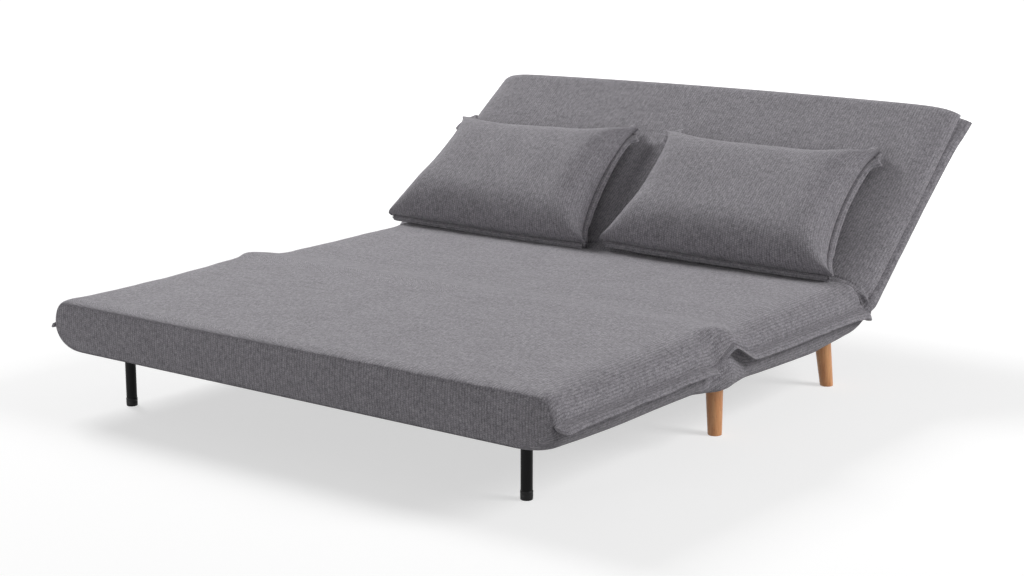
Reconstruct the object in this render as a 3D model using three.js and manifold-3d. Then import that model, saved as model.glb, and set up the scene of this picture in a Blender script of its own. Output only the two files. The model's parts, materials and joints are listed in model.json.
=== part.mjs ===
// Futon sofa bed with three hinged sections: a foot section, a seat and a backrest.
// The foot section folds over onto the seat, the backrest reclines on ratchet hinges,
// and the foot end stands on a folding hoop of black tube. Two loose pillows lie on the backrest.
// Units are millimetres. X runs along the width, Y from the foot end to the backrest, Z up from the floor.

import * as THREE from 'three';
import { mergeVertices } from 'three/addons/utils/BufferGeometryUtils.js';
import Module from 'manifold-3d';

const wasm = await Module();
wasm.setup();

// ---- Driving dimensions -------------------------------------------------------------------

const OVERALL_WIDTH = 1500;        // over the stitched flanges of both sides
const FOOT_LENGTH = 630;           // foot face to the crease between foot section and seat
const SEAT_LENGTH = 626;           // that crease to the pivot of the backrest
const BACK_LENGTH = 679;           // pivot of the backrest to its top end
const BACK_ANGLE = 38;             // degrees above level in the lounging position
const UNDERSIDE_HEIGHT = 141;      // floor to the underside of the sections
const SEAT_THICKNESS = 116;        // underside to top of the foot section and the seat
const BACK_THICKNESS = 107;        // rear to face of the backrest

const PIECE_GAP = 0.3;             // between pieces that touch
const CREASE_GAP = 8;              // each section stops this far from the crease

const FLANGE_REACH = 27;           // the stitched flange beyond the side of the cover
const FLANGE_THICKNESS = 7;
const FLANGE_RISE = 48;            // underside to the middle of the flange
const SEAM_RISE = 53.5;            // underside to the widest level of the cover
const SIDE_PADDING = 33;           // side of the frame to side of the cover
const END_PADDING = 30;            // end of the frame to end of the cover
const TOP_ROLL = 56;               // how far the top edge rolls in from the side
const BELLY_ROLL = 50;             // how far the belly draws in from the side
const LINING = 9;                  // padding under the frame
const FOOT_TOP_CORNER = 14;        // rounding of the foot face, above and below
const FOOT_BELLY_CORNER = 12;
const CREASE_TOP_CORNER = 20;      // rounding on both sides of the crease
const CREASE_BELLY_CORNER = 34;
const SEAT_TOP_STOP = 27;          // pivot of the backrest to the end of the seat's top padding
const SEAT_TOP_CORNER = 10;
const NOSE_LIFT = 14;              // degrees that the seat's rear nose runs on past its top
const BACK_LOWER_CORNER = 12;      // rounding of the backrest, at its lower and top end
const BACK_END_HIGH = 40;
const BACK_END_LOW = 44;

const RAIL_WIDTH = 25;
const RAIL_HEIGHT = 30;
const RAIL_WALL = 1.5;
const SLAT_WIDTH = 60;
const SLAT_THICKNESS = 9;
const SLAT_INSET = 4;              // end of a slat to the outer face of its rail
const SLATS = 4;                   // in each section
const PLATE = 2.5;                 // sheet of the leg plates and tube brackets
const HINGE_PLATE = 4;             // sheet of the hinge plates

const PIN_RADIUS = 4.7;
const PIN_HEAD_RADIUS = 8;
const PIN_HEAD = 3;
const FOLD_SETBACK = 22;           // pivot of the foot section, ahead of the crease
const FOLD_RISE = 1;               // and above the top of the sections
const FOLD_EYE_RADIUS = 10;
const FOLD_STRIP = 90;             // length of the hinge plate along the rail
const FOLD_NECK = 34;              // where its arm leaves the strip
const FOLD_FLANGE_STOP = 106;      // crease to the end of the foot section's flange
const SEAT_FLANGE_STOP = 83;       // crease to the start of the seat's flange
const RECLINE_STRIP = 110;         // length of the recline plates along their rails
const RECLINE_FRAME_GAP = 36;      // end of the seat frame to the pivot of the backrest
const SLOT_CLEARANCE = 4;          // slot beyond the end of a hinge plate
const RATCHET_RADIUS = 24;
const RATCHET_TOOTH = 3;
const RATCHET_TEETH = 9;

const WOOD_LEG_TOP_RADIUS = 21.5;
const WOOD_LEG_FOOT_RADIUS = 16;
const WOOD_LEG_SPLAY = 5;          // degrees, both sideways and lengthways
const WOOD_LEG_INSET = 59;         // side of the frame to the top of a leg
const FRONT_LEG_Y = 103;           // crease to the top of the front wooden leg
const REAR_LEG_INSET = 22;         // pivot of the backrest to the top of the rear wooden leg
const LEG_BOLT_RADIUS = 4;
const LEG_BOLT_REACH = 24;         // into the leg
const LEG_PLATE_SIZE = 100;
const LEG_PLATE_INSET = 12;        // side of the frame to the plate

const TUBE_RADIUS = 12.5;          // black tube of the hoop
const TUBE_WALL = 1.5;
const TUBE_LEG_SIDE_INSET = 112;   // side of the frame to a tube leg
const TUBE_LEG_INSET = 103;        // foot face to the tube legs
const HOOP_DROP = 19;              // underside of the section to the axis of the cross tube
const HOOP_OVERHANG = 22;          // cross tube beyond each leg
const CAP_WALL = 1.7;
const CAP_HEIGHT = 20;
const CAP_FLOOR = 3;
const BRACKET_INSET = 138;         // tube leg to its bracket
const BRACKET_EYE = 4;             // wall of the eye round the tube
const BRACKET_WIDTH = 6;

const PILLOW_WIDTH = 660;
const PILLOW_HEIGHT = 433;
const PILLOW_THICKNESS = 110;
const PILLOW_FLANGE = 26;
const PILLOW_FLANGE_THICKNESS = 6;
const PILLOW_ROLL = 46;            // how far its faces roll in from the flange
const PILLOW_EDGE = 8;             // upright part of its side, above and below the flange
const PILLOW_RIM = 27;             // face of the backrest to the middle of the flange
const PILLOW_START = 17;           // pivot of the backrest to the lower edge of a pillow
const PILLOW_SPLIT = -51;          // halfway between the two pillows
const PILLOW_MEET_GAP = 46;

// ---- Derived levels and positions ---------------------------------------------------------

const SIDE = OVERALL_WIDTH / 2 - FLANGE_REACH;
const FRAME_SIDE = SIDE - SIDE_PADDING;
const WOOD_LEG_SIDE = FRAME_SIDE - WOOD_LEG_INSET;
const TUBE_LEG_SIDE = FRAME_SIDE - TUBE_LEG_SIDE_INSET;
const BRACKET_SIDE = TUBE_LEG_SIDE - BRACKET_INSET;
const TOP = UNDERSIDE_HEIGHT + SEAT_THICKNESS;
const PIVOT_LEVEL = UNDERSIDE_HEIGHT + BACK_THICKNESS / 2;
const POCKET_FLOOR = UNDERSIDE_HEIGHT + LINING;
const PLATE_BOTTOM = POCKET_FLOOR + PIECE_GAP;
const RAIL_BOTTOM = PLATE_BOTTOM + PLATE + PIECE_GAP;
const RAIL_TOP = RAIL_BOTTOM + RAIL_HEIGHT;
const SLAT_BOTTOM = RAIL_TOP + PIECE_GAP;
const POCKET_TOP = SLAT_BOTTOM + SLAT_THICKNESS + PIECE_GAP;
const FOLD_Y = -FOLD_SETBACK;
const FOLD_Z = TOP + FOLD_RISE;
const NOSE_RADIUS = BACK_THICKNESS / 2;
const BACK_START = NOSE_RADIUS + 1;
const HOOP_Y = -FOOT_LENGTH + TUBE_LEG_INSET;
const HOOP_Z = UNDERSIDE_HEIGHT - HOOP_DROP;
const REAR_LEG_Y = SEAT_LENGTH - REAR_LEG_INSET;
const INNER_HINGE_X = FRAME_SIDE + PIECE_GAP;
const OUTER_HINGE_X = INNER_HINGE_X + HINGE_PLATE + PIECE_GAP;
const SLOT_INNER_X = FRAME_SIDE - PIN_HEAD - 2 * PIECE_GAP;
const SLOT_OUTER_X = OUTER_HINGE_X + HINGE_PLATE + PIN_HEAD + 3 * PIECE_GAP;
const BORE_RADIUS = PIN_RADIUS + PIECE_GAP;

// Length of the whole bed on the floor plan, to centre it on the origin.
const BACK_SLOPE = THREE.MathUtils.degToRad(BACK_ANGLE);
const REAR_REACH = SEAT_LENGTH + (BACK_LENGTH - BACK_END_LOW) * Math.cos(BACK_SLOPE)
  + (BACK_THICKNESS / 2 - BACK_END_LOW) * Math.sin(BACK_SLOPE) + BACK_END_LOW;
const CENTRE_Y = (REAR_REACH - FOOT_LENGTH) / 2;

// ---- Finishes -----------------------------------------------------------------------------

function finish(color, roughness, metalness) {
  return () => new THREE.MeshStandardMaterial({ color, roughness, metalness });
}

const fabric = finish('#8b8a8f', 0.95, 0);
const pillowFabric = finish('#858489', 0.95, 0);
const blackTube = finish('#15151a', 0.25, 0.4);
const blackPlastic = finish('#1c1c1e', 0.6, 0);
const stainedWood = finish('#a8744c', 0.45, 0);
const plywood = finish('#cdb187', 0.7, 0);
const frameSteel = finish('#3a3c40', 0.5, 0.6);
const zincSteel = finish('#a3a7ab', 0.35, 0.85);

// ---- Shape helpers ------------------------------------------------------------------------

// Flat profile in X and Y, given thickness along Z.
function alongZ(shape, z0, z1, curveSegments = 6) {
  const geometry = new THREE.ExtrudeGeometry(shape, { depth: z1 - z0, bevelEnabled: false, curveSegments });
  return geometry.translate(0, 0, z0);
}

// Profile in X and Z, run along Y.
function alongY(shape, y0, y1, curveSegments = 6) {
  const geometry = new THREE.ExtrudeGeometry(shape, { depth: y1 - y0, bevelEnabled: false, curveSegments });
  return geometry.rotateX(Math.PI / 2).translate(0, y1, 0);
}

// Profile in Y and Z, run along X.
function alongX(shape, x0, x1, curveSegments = 6) {
  const geometry = new THREE.ExtrudeGeometry(shape, { depth: x1 - x0, bevelEnabled: false, curveSegments });
  const turn = new THREE.Matrix4().makeBasis(
    new THREE.Vector3(0, 1, 0), new THREE.Vector3(0, 0, 1), new THREE.Vector3(1, 0, 0));
  return geometry.applyMatrix4(turn).translate(x0, 0, 0);
}

function block(x0, x1, y0, y1, z0, z1) {
  const geometry = new THREE.BoxGeometry(x1 - x0, y1 - y0, z1 - z0);
  return geometry.translate((x0 + x1) / 2, (y0 + y1) / 2, (z0 + z1) / 2);
}

// Round bar or disc along X.
function rod(radius, x0, x1, y, z, segments = 24) {
  const geometry = new THREE.CylinderGeometry(radius, radius, x1 - x0, segments);
  return geometry.rotateZ(Math.PI / 2).translate((x0 + x1) / 2, y, z);
}

// Round bar along Z.
function post(radius, x, y, z0, z1, segments = 24) {
  const geometry = new THREE.CylinderGeometry(radius, radius, z1 - z0, segments);
  return geometry.rotateX(Math.PI / 2).translate(x, y, (z0 + z1) / 2);
}

function rectangle(x0, x1, y0, y1) {
  const shape = new THREE.Shape();
  shape.moveTo(x0, y0);
  shape.lineTo(x1, y0);
  shape.lineTo(x1, y1);
  shape.lineTo(x0, y1);
  shape.closePath();
  return shape;
}

function roundedRectangle(x0, x1, y0, y1, radius) {
  const shape = new THREE.Shape();
  shape.moveTo(x0 + radius, y0);
  shape.lineTo(x1 - radius, y0);
  shape.absarc(x1 - radius, y0 + radius, radius, -Math.PI / 2, 0, false);
  shape.lineTo(x1, y1 - radius);
  shape.absarc(x1 - radius, y1 - radius, radius, 0, Math.PI / 2, false);
  shape.lineTo(x0 + radius, y1);
  shape.absarc(x0 + radius, y1 - radius, radius, Math.PI / 2, Math.PI, false);
  shape.lineTo(x0, y0 + radius);
  shape.absarc(x0 + radius, y0 + radius, radius, Math.PI, 1.5 * Math.PI, false);
  return shape;
}

function polygon(...corners) {
  return new THREE.Shape(corners.map(([x, y]) => new THREE.Vector2(x, y)));
}

function solid(geometry) {
  const bare = geometry.clone();
  bare.deleteAttribute('normal');
  bare.deleteAttribute('uv');
  const welded = mergeVertices(bare, 1e-4);
  const mesh = new wasm.Mesh({
    numProp: 3,
    vertProperties: new Float32Array(welded.attributes.position.array),
    triVerts: new Uint32Array(welded.index.array),
  });
  return new wasm.Manifold(mesh);
}

function join(...geometries) {
  return geometries.map(solid).reduce((whole, piece) => whole.add(piece));
}

function cut(body, ...geometries) {
  return geometries.reduce((whole, geometry) => whole.subtract(solid(geometry)), body);
}

function toGeometry(body) {
  const mesh = body.getMesh();
  const geometry = new THREE.BufferGeometry();
  geometry.setAttribute('position', new THREE.BufferAttribute(new Float32Array(mesh.vertProperties), 3));
  geometry.setIndex(new THREE.BufferAttribute(new Uint32Array(mesh.triVerts), 1));
  geometry.computeVertexNormals();
  return geometry;
}

function add(parent, name, shape, material) {
  const geometry = shape.isBufferGeometry ? shape : toGeometry(shape);
  const mesh = new THREE.Mesh(geometry, material());
  mesh.name = name;
  parent.add(mesh);
  return mesh;
}

const BOTH_SIDES = [['left', -1], ['right', 1]];

// Orders a pair of X limits given for the right side, mirrored when side is -1.
function across(side, inner, outer) {
  return side > 0 ? [inner, outer] : [-outer, -inner];
}

// ---- Cushions -----------------------------------------------------------------------------

// Cross-section of every section: flat top, rolled top edges, and a belly that draws in below the flange.
function crossSection(bottom, top) {
  const seam = bottom + SEAM_RISE;
  const topFlat = SIDE - TOP_ROLL;
  const bellyFlat = SIDE - BELLY_ROLL;
  const shape = new THREE.Shape();
  shape.moveTo(-bellyFlat, bottom);
  shape.lineTo(bellyFlat, bottom);
  shape.absellipse(bellyFlat, seam, BELLY_ROLL, seam - bottom, -Math.PI / 2, 0, false);
  shape.absellipse(topFlat, seam, TOP_ROLL, top - seam, 0, Math.PI / 2, false);
  shape.lineTo(-topFlat, top);
  shape.absellipse(-topFlat, seam, TOP_ROLL, top - seam, Math.PI / 2, Math.PI, false);
  shape.absellipse(-bellyFlat, seam, BELLY_ROLL, seam - bottom, Math.PI, 1.5 * Math.PI, false);
  return shape;
}

// Side view of a section, with its own rounding at the top and bottom of each end.
function sideView(y0, y1, bottom, top, start, end) {
  const shape = new THREE.Shape();
  shape.moveTo(y0 + start.low, bottom);
  shape.lineTo(y1 - end.low, bottom);
  shape.absarc(y1 - end.low, bottom + end.low, end.low, -Math.PI / 2, 0, false);
  shape.absarc(y1 - end.high, top - end.high, end.high, 0, Math.PI / 2, false);
  shape.lineTo(y0 + start.high, top);
  shape.absarc(y0 + start.high, top - start.high, start.high, Math.PI / 2, Math.PI, false);
  shape.absarc(y0 + start.low, bottom + start.low, start.low, Math.PI, 1.5 * Math.PI, false);
  return shape;
}

// Side view of the seat. Its rear end is a nose round the pivot of the backrest, with the top padding
// stopped ahead of it, where the lower end of the backrest swings through.
function seatSideView() {
  const front = CREASE_GAP;
  const stop = SEAT_LENGTH - SEAT_TOP_STOP;
  const lift = Math.PI / 2 + THREE.MathUtils.degToRad(NOSE_LIFT);
  const shape = new THREE.Shape();
  shape.moveTo(front + CREASE_BELLY_CORNER, UNDERSIDE_HEIGHT);
  shape.lineTo(SEAT_LENGTH, UNDERSIDE_HEIGHT);
  shape.absarc(SEAT_LENGTH, PIVOT_LEVEL, NOSE_RADIUS, -Math.PI / 2, lift, false);
  shape.lineTo(stop, TOP - SEAT_TOP_CORNER);
  shape.quadraticCurveTo(stop, TOP, stop - SEAT_TOP_CORNER, TOP);
  shape.lineTo(front + CREASE_TOP_CORNER, TOP);
  shape.absarc(front + CREASE_TOP_CORNER, TOP - CREASE_TOP_CORNER, CREASE_TOP_CORNER, Math.PI / 2, Math.PI, false);
  shape.absarc(front + CREASE_BELLY_CORNER, UNDERSIDE_HEIGHT + CREASE_BELLY_CORNER, CREASE_BELLY_CORNER,
    Math.PI, 1.5 * Math.PI, false);
  return shape;
}

// Stitched flange along one side, a flat tongue with rounded corners.
function flange(side, y0, y1, bottom) {
  const [x0, x1] = across(side, SIDE - TOP_ROLL / 2, OVERALL_WIDTH / 2);
  const level = bottom + FLANGE_RISE;
  const tongue = roundedRectangle(x0, x1, y0, y1, FLANGE_REACH * 0.45);
  return alongZ(tongue, level - FLANGE_THICKNESS / 2, level + FLANGE_THICKNESS / 2, 3);
}

// Padded body of one section, before its pocket is cut, with side as its side view.
function paddedBody(y0, y1, bottom, top, side, flangeStart, flangeEnd) {
  const along = alongY(crossSection(bottom, top), y0 - 1, y1 + 1, 4);
  const sideways = alongX(side, -SIDE - 1, SIDE + 1, 4);
  let body = solid(along).intersect(solid(sideways));
  for (const [, side] of BOTH_SIDES) {
    body = body.add(solid(flange(side, flangeStart, flangeEnd, bottom)));
  }
  return body;
}

// Slots for the hinge plates, beside the frame at both sides.
function hingeSlots(y0, y1, z0, z1) {
  return BOTH_SIDES.map(([, side]) => {
    const [x0, x1] = across(side, SLOT_INNER_X, SLOT_OUTER_X);
    return block(x0, x1, y0, y1, z0, z1);
  });
}

function pocket(y0, y1, z0, z1) {
  const reach = FRAME_SIDE + PIECE_GAP;
  return block(-reach, reach, y0 - PIECE_GAP, y1 + PIECE_GAP, z0, z1);
}

// ---- Frames -------------------------------------------------------------------------------

// Hollow tube with a rectangular section: across is its width, from low to high its height.
function hollow(a0, a1, low, high) {
  const shape = rectangle(a0, a1, low, high);
  shape.holes.push(rectangle(a0 + RAIL_WALL, a1 - RAIL_WALL, low + RAIL_WALL, high - RAIL_WALL));
  return shape;
}

function crossRail(y0, low, reach = FRAME_SIDE) {
  return alongX(hollow(y0, y0 + RAIL_WIDTH, low, low + RAIL_HEIGHT), -reach, reach);
}

// Rails and slats of one section between y0 and y1, with the rails standing on level low.
function addFrame(parent, section, ends, y0, y1, low) {
  add(parent, `${section}_frame_${ends[0]}_rail`, crossRail(y0, low), frameSteel);
  add(parent, `${section}_frame_${ends[1]}_rail`, crossRail(y1 - RAIL_WIDTH, low), frameSteel);
  const sideStart = y0 + RAIL_WIDTH + PIECE_GAP;
  const sideEnd = y1 - RAIL_WIDTH - PIECE_GAP;
  for (const [label, side] of BOTH_SIDES) {
    const [x0, x1] = across(side, FRAME_SIDE - RAIL_WIDTH, FRAME_SIDE);
    const rail = alongY(hollow(x0, x1, low, low + RAIL_HEIGHT), sideStart, sideEnd);
    add(parent, `${section}_frame_${label}_rail`, rail, frameSteel);
  }
  const slatBottom = low + RAIL_HEIGHT + PIECE_GAP;
  const pitch = 2 * FRAME_SIDE / SLATS;
  for (let i = 0; i < SLATS; i += 1) {
    const x = -FRAME_SIDE + pitch * (i + 0.5);
    const plan = roundedRectangle(x - SLAT_WIDTH / 2, x + SLAT_WIDTH / 2, y0 + SLAT_INSET, y1 - SLAT_INSET, SLAT_WIDTH / 6);
    add(parent, `${section}_slat_${i + 1}`, alongZ(plan, slatBottom, slatBottom + SLAT_THICKNESS, 3), plywood);
  }
}

// ---- Folding hinge between foot section and seat ------------------------------------------

// Plate in the Y-Z plane: a strip along the rail and an arm up to the eye at the pivot.
// way is -1 for the plate of the foot section and +1 for the plate of the seat.
function foldPlateOutline(way) {
  const root = way * END_PADDING;
  const far = root + way * FOLD_STRIP;
  const low = RAIL_BOTTOM + RAIL_WALL * 2;
  const high = RAIL_TOP;
  const neck = root + way * FOLD_NECK;
  const strip = polygon([root, low], [far, low], [far, high - 6], [far - way * 6, high], [root, high]);
  const reach = FOLD_EYE_RADIUS * 0.92;
  const arm = polygon([root, low], [neck, high], [FOLD_Y + reach * 0.7, FOLD_Z + reach * 0.7],
    [FOLD_Y - reach * 0.7, FOLD_Z - reach * 0.7], [root - way * 2, low + 8]);
  const mirrored = polygon([root, low], [neck, high], [FOLD_Y - reach * 0.7, FOLD_Z + reach * 0.7],
    [FOLD_Y + reach * 0.7, FOLD_Z - reach * 0.7], [root - way * 2, low + 8]);
  return { strip, arm: way > 0 ? arm : mirrored };
}

function foldPlate(side, way, inner) {
  const [x0, x1] = across(side, inner, inner + HINGE_PLATE);
  const { strip, arm } = foldPlateOutline(way);
  const eye = rod(FOLD_EYE_RADIUS, x0, x1, FOLD_Y, FOLD_Z);
  let plate = join(alongX(strip, x0, x1), alongX(arm, x0, x1), eye);
  if (inner > INNER_HINGE_X) {
    const [p0, p1] = across(side, INNER_HINGE_X, inner + 0.5);
    const padStart = END_PADDING + FOLD_NECK;
    const pad = block(p0, p1, padStart, END_PADDING + FOLD_STRIP, RAIL_BOTTOM + 5, RAIL_TOP - 5);
    plate = plate.add(solid(pad));
  }
  return cut(plate, rod(BORE_RADIUS, x0 - 1, x1 + 1, FOLD_Y, FOLD_Z));
}

// Headed pin through both plates of a hinge.
function hingePin(side, y, z) {
  const inner = INNER_HINGE_X - PIECE_GAP;
  const outer = OUTER_HINGE_X + HINGE_PLATE + PIECE_GAP;
  const [a0, a1] = across(side, inner - PIN_HEAD, inner);
  const [b0, b1] = across(side, outer, outer + PIN_HEAD);
  const [s0, s1] = across(side, inner - 1, outer + 1);
  return join(rod(PIN_HEAD_RADIUS, a0, a1, y, z), rod(PIN_HEAD_RADIUS, b0, b1, y, z), rod(PIN_RADIUS, s0, s1, y, z));
}

// ---- Ratchet hinge between seat and backrest ----------------------------------------------

// Disc with ratchet teeth round part of its rim.
function ratchetDisc(startAngle) {
  const shape = new THREE.Shape();
  const step = Math.PI / 12;
  const arc = step * RATCHET_TEETH;
  shape.absarc(0, 0, RATCHET_RADIUS, startAngle + arc, startAngle + 2 * Math.PI, false);
  for (let i = 0; i < RATCHET_TEETH; i += 1) {
    const a = startAngle + step * i;
    const b = a + step * 0.85;
    const root = RATCHET_RADIUS - RATCHET_TOOTH;
    shape.lineTo(root * Math.cos(a), root * Math.sin(a));
    shape.lineTo(RATCHET_RADIUS * Math.cos(b), RATCHET_RADIUS * Math.sin(b));
  }
  return shape;
}

// Plate on the seat rail: a strip under the pivot and an upright eye.
function reclineSeatPlate(side) {
  const [x0, x1] = across(side, OUTER_HINGE_X, OUTER_HINGE_X + HINGE_PLATE);
  const low = RAIL_BOTTOM + 5;
  const far = seatFrameEnd() - RECLINE_STRIP;
  const outline = polygon([far, low], [SEAT_LENGTH - 6, low], [SEAT_LENGTH + 12, PIVOT_LEVEL],
    [SEAT_LENGTH - 12, PIVOT_LEVEL + 10], [seatFrameEnd() - 40, RAIL_TOP], [far, RAIL_TOP]);
  const eye = rod(RATCHET_RADIUS - 6, x0, x1, SEAT_LENGTH, PIVOT_LEVEL);
  const [p0, p1] = across(side, INNER_HINGE_X, OUTER_HINGE_X + 0.5);
  const pad = block(p0, p1, far + 4, seatFrameEnd() - RECLINE_STRIP / 3, low + 2, RAIL_TOP - 4);
  const plate = join(alongX(outline, x0, x1), eye, pad);
  return cut(plate, rod(BORE_RADIUS, x0 - 1, x1 + 1, SEAT_LENGTH, PIVOT_LEVEL));
}

// Plate on the backrest rail, in the frame of the backrest: a strip, an arm and the toothed disc.
function reclineBackPlate(side, railLow) {
  const [x0, x1] = across(side, INNER_HINGE_X, INNER_HINGE_X + HINGE_PLATE);
  const start = BACK_START + END_PADDING;
  const low = railLow + 3;
  const high = railLow + RAIL_HEIGHT;
  const outline = polygon([0, -14], [start + RECLINE_STRIP, low], [start + RECLINE_STRIP, high - 5],
    [start + RECLINE_STRIP - 10, high],
    [start - 8, high + 4], [0, 14]);
  const plate = join(alongX(outline, x0, x1), alongX(ratchetDisc(Math.PI * 0.75), x0, x1));
  return cut(plate, rod(BORE_RADIUS, x0 - 1, x1 + 1, 0, 0));
}

// ---- Legs ---------------------------------------------------------------------------------

// Turned tapering wooden leg, splayed, with its foot and top cut level.
function woodenLeg(x, y, out, back) {
  const lean = Math.tan(THREE.MathUtils.degToRad(WOOD_LEG_SPLAY));
  const height = POCKET_FLOOR;
  const spare = 12;
  const length = height * Math.hypot(1, lean, lean);
  const taper = (WOOD_LEG_TOP_RADIUS - WOOD_LEG_FOOT_RADIUS) / length;
  const profile = [
    new THREE.Vector2(0, -spare),
    new THREE.Vector2(WOOD_LEG_FOOT_RADIUS - taper * spare, -spare),
    new THREE.Vector2(WOOD_LEG_TOP_RADIUS + taper * spare, length + spare),
    new THREE.Vector2(0, length + spare),
  ];
  const cone = new THREE.LatheGeometry(profile, 40);
  const foot = new THREE.Vector3(x + out * lean * height, y + back * lean * height, 0);
  const axis = new THREE.Vector3(x, y, height).sub(foot).normalize();
  const turn = new THREE.Quaternion().setFromUnitVectors(new THREE.Vector3(0, 1, 0), axis);
  cone.applyQuaternion(turn).translate(foot.x, foot.y, foot.z);
  const reach = 3 * WOOD_LEG_TOP_RADIUS;
  const slab = block(x - reach, x + reach, y - reach, y + reach, 0, height);
  const bolt = post(LEG_BOLT_RADIUS + PIECE_GAP, x, y, height - LEG_BOLT_REACH - PIECE_GAP, height + 1, 16);
  return cut(solid(cone).intersect(solid(slab)), bolt);
}

function legBolt(x, y) {
  const head = PLATE_BOTTOM + PLATE + PIECE_GAP;
  const shank = post(LEG_BOLT_RADIUS, x, y, POCKET_FLOOR - LEG_BOLT_REACH, head + 6, 16);
  return join(shank, post(LEG_BOLT_RADIUS * 1.75, x, y, head, head + 5, 6));
}

// Square steel plate under the corner of the seat frame, with a bolt hole and four screw holes.
function legPlate(x, y, x0, y0) {
  const plan = roundedRectangle(x0, x0 + LEG_PLATE_SIZE, y0, y0 + LEG_PLATE_SIZE, 8);
  const hole = new THREE.Path();
  hole.absarc(x, y, LEG_BOLT_RADIUS + PIECE_GAP, 0, 2 * Math.PI, true);
  plan.holes.push(hole);
  return alongZ(plan, PLATE_BOTTOM, PLATE_BOTTOM + PLATE, 8);
}

// Cross tube with a leg welded under it near each end, hollow, with closed ends on the cross tube.
function hoop() {
  const reach = TUBE_LEG_SIDE + HOOP_OVERHANG;
  const legFoot = CAP_FLOOR + PIECE_GAP;
  const bore = TUBE_RADIUS - TUBE_WALL;
  const legs = (radius, foot) => BOTH_SIDES.map(([, side]) =>
    post(radius, side * TUBE_LEG_SIDE, HOOP_Y, foot, HOOP_Z, 32));
  const tubes = join(rod(TUBE_RADIUS, -reach, reach, HOOP_Y, HOOP_Z, 32), ...legs(TUBE_RADIUS, legFoot));
  const inside = rod(bore, -reach + TUBE_WALL, reach - TUBE_WALL, HOOP_Y, HOOP_Z, 32);
  return cut(tubes, inside, ...legs(bore, legFoot - 1));
}

function tubeCap(side) {
  const x = side * TUBE_LEG_SIDE;
  const outside = TUBE_RADIUS + PIECE_GAP + CAP_WALL;
  const profile = [
    new THREE.Vector2(0, 0),
    new THREE.Vector2(outside - 1.5, 0),
    new THREE.Vector2(outside, 1.5),
    new THREE.Vector2(outside, CAP_HEIGHT - 1),
    new THREE.Vector2(outside - 1, CAP_HEIGHT),
    new THREE.Vector2(TUBE_RADIUS + PIECE_GAP, CAP_HEIGHT),
    new THREE.Vector2(TUBE_RADIUS + PIECE_GAP, CAP_FLOOR),
    new THREE.Vector2(0, CAP_FLOOR),
  ];
  const cap = new THREE.LatheGeometry(profile, 32);
  return cap.rotateX(Math.PI / 2).translate(x, HOOP_Y, 0);
}

// Bracket that carries the cross tube: an eye, a web and a tab screwed under the leg beam.
function tubeBracket(side) {
  const x = side * BRACKET_SIDE;
  const x0 = x - BRACKET_WIDTH / 2;
  const x1 = x + BRACKET_WIDTH / 2;
  const bore = TUBE_RADIUS + PIECE_GAP;
  const eye = rod(bore + BRACKET_EYE, x0, x1, HOOP_Y, HOOP_Z, 32);
  const web = block(x0, x1, HOOP_Y - 11, HOOP_Y + 11, HOOP_Z, PLATE_BOTTOM + PLATE);
  const tab = block(x - 22, x + 22, HOOP_Y - 16, HOOP_Y + 16, PLATE_BOTTOM, PLATE_BOTTOM + PLATE);
  return cut(join(eye, web, tab), rod(bore, x0 - 1, x1 + 1, HOOP_Y, HOOP_Z, 32));
}

// ---- Sections -----------------------------------------------------------------------------

function seatFrameEnd() {
  return SEAT_LENGTH - RECLINE_FRAME_GAP;
}

function addFootSection(parent) {
  const frameStart = -FOOT_LENGTH + END_PADDING;
  const frameEnd = -END_PADDING;
  const side = sideView(-FOOT_LENGTH, -CREASE_GAP, UNDERSIDE_HEIGHT, TOP,
    { low: FOOT_BELLY_CORNER, high: FOOT_TOP_CORNER }, { low: CREASE_BELLY_CORNER, high: CREASE_TOP_CORNER });
  const body = paddedBody(-FOOT_LENGTH, -CREASE_GAP, UNDERSIDE_HEIGHT, TOP, side,
    -FOOT_LENGTH + 4, -FOLD_FLANGE_STOP);
  const bracketSlots = BOTH_SIDES.map(([, side]) => {
    const x = side * BRACKET_SIDE;
    return block(x - BRACKET_WIDTH / 2 - PIECE_GAP, x + BRACKET_WIDTH / 2 + PIECE_GAP,
      HOOP_Y - 18, HOOP_Y + 18, UNDERSIDE_HEIGHT - 1, POCKET_FLOOR + 1);
  });
  const slotStart = -END_PADDING - FOLD_STRIP - SLOT_CLEARANCE;
  const cushion = cut(body, pocket(frameStart, frameEnd, POCKET_FLOOR, POCKET_TOP),
    ...hingeSlots(slotStart, 0, RAIL_BOTTOM + 2, TOP + 1), ...bracketSlots);
  add(parent, 'foot_cushion', cushion, fabric);
  addFrame(parent, 'foot', ['end', 'crease'], frameStart, frameEnd, RAIL_BOTTOM);
  const beamReach = FRAME_SIDE - RAIL_WIDTH - PIECE_GAP;
  add(parent, 'foot_leg_beam', crossRail(HOOP_Y - RAIL_WIDTH / 2, RAIL_BOTTOM, beamReach), frameSteel);
  for (const [label, side] of BOTH_SIDES) {
    add(parent, `fold_hinge_foot_plate_${label}`, foldPlate(side, -1, INNER_HINGE_X), zincSteel);
    add(parent, `leg_hoop_bracket_${label}`, tubeBracket(side), zincSteel);
  }
}

function addLegHoop(parent) {
  add(parent, 'leg_hoop_tube', hoop(), blackTube);
  for (const [label, side] of BOTH_SIDES) {
    add(parent, `leg_hoop_cap_${label}`, tubeCap(side), blackPlastic);
  }
}

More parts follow.
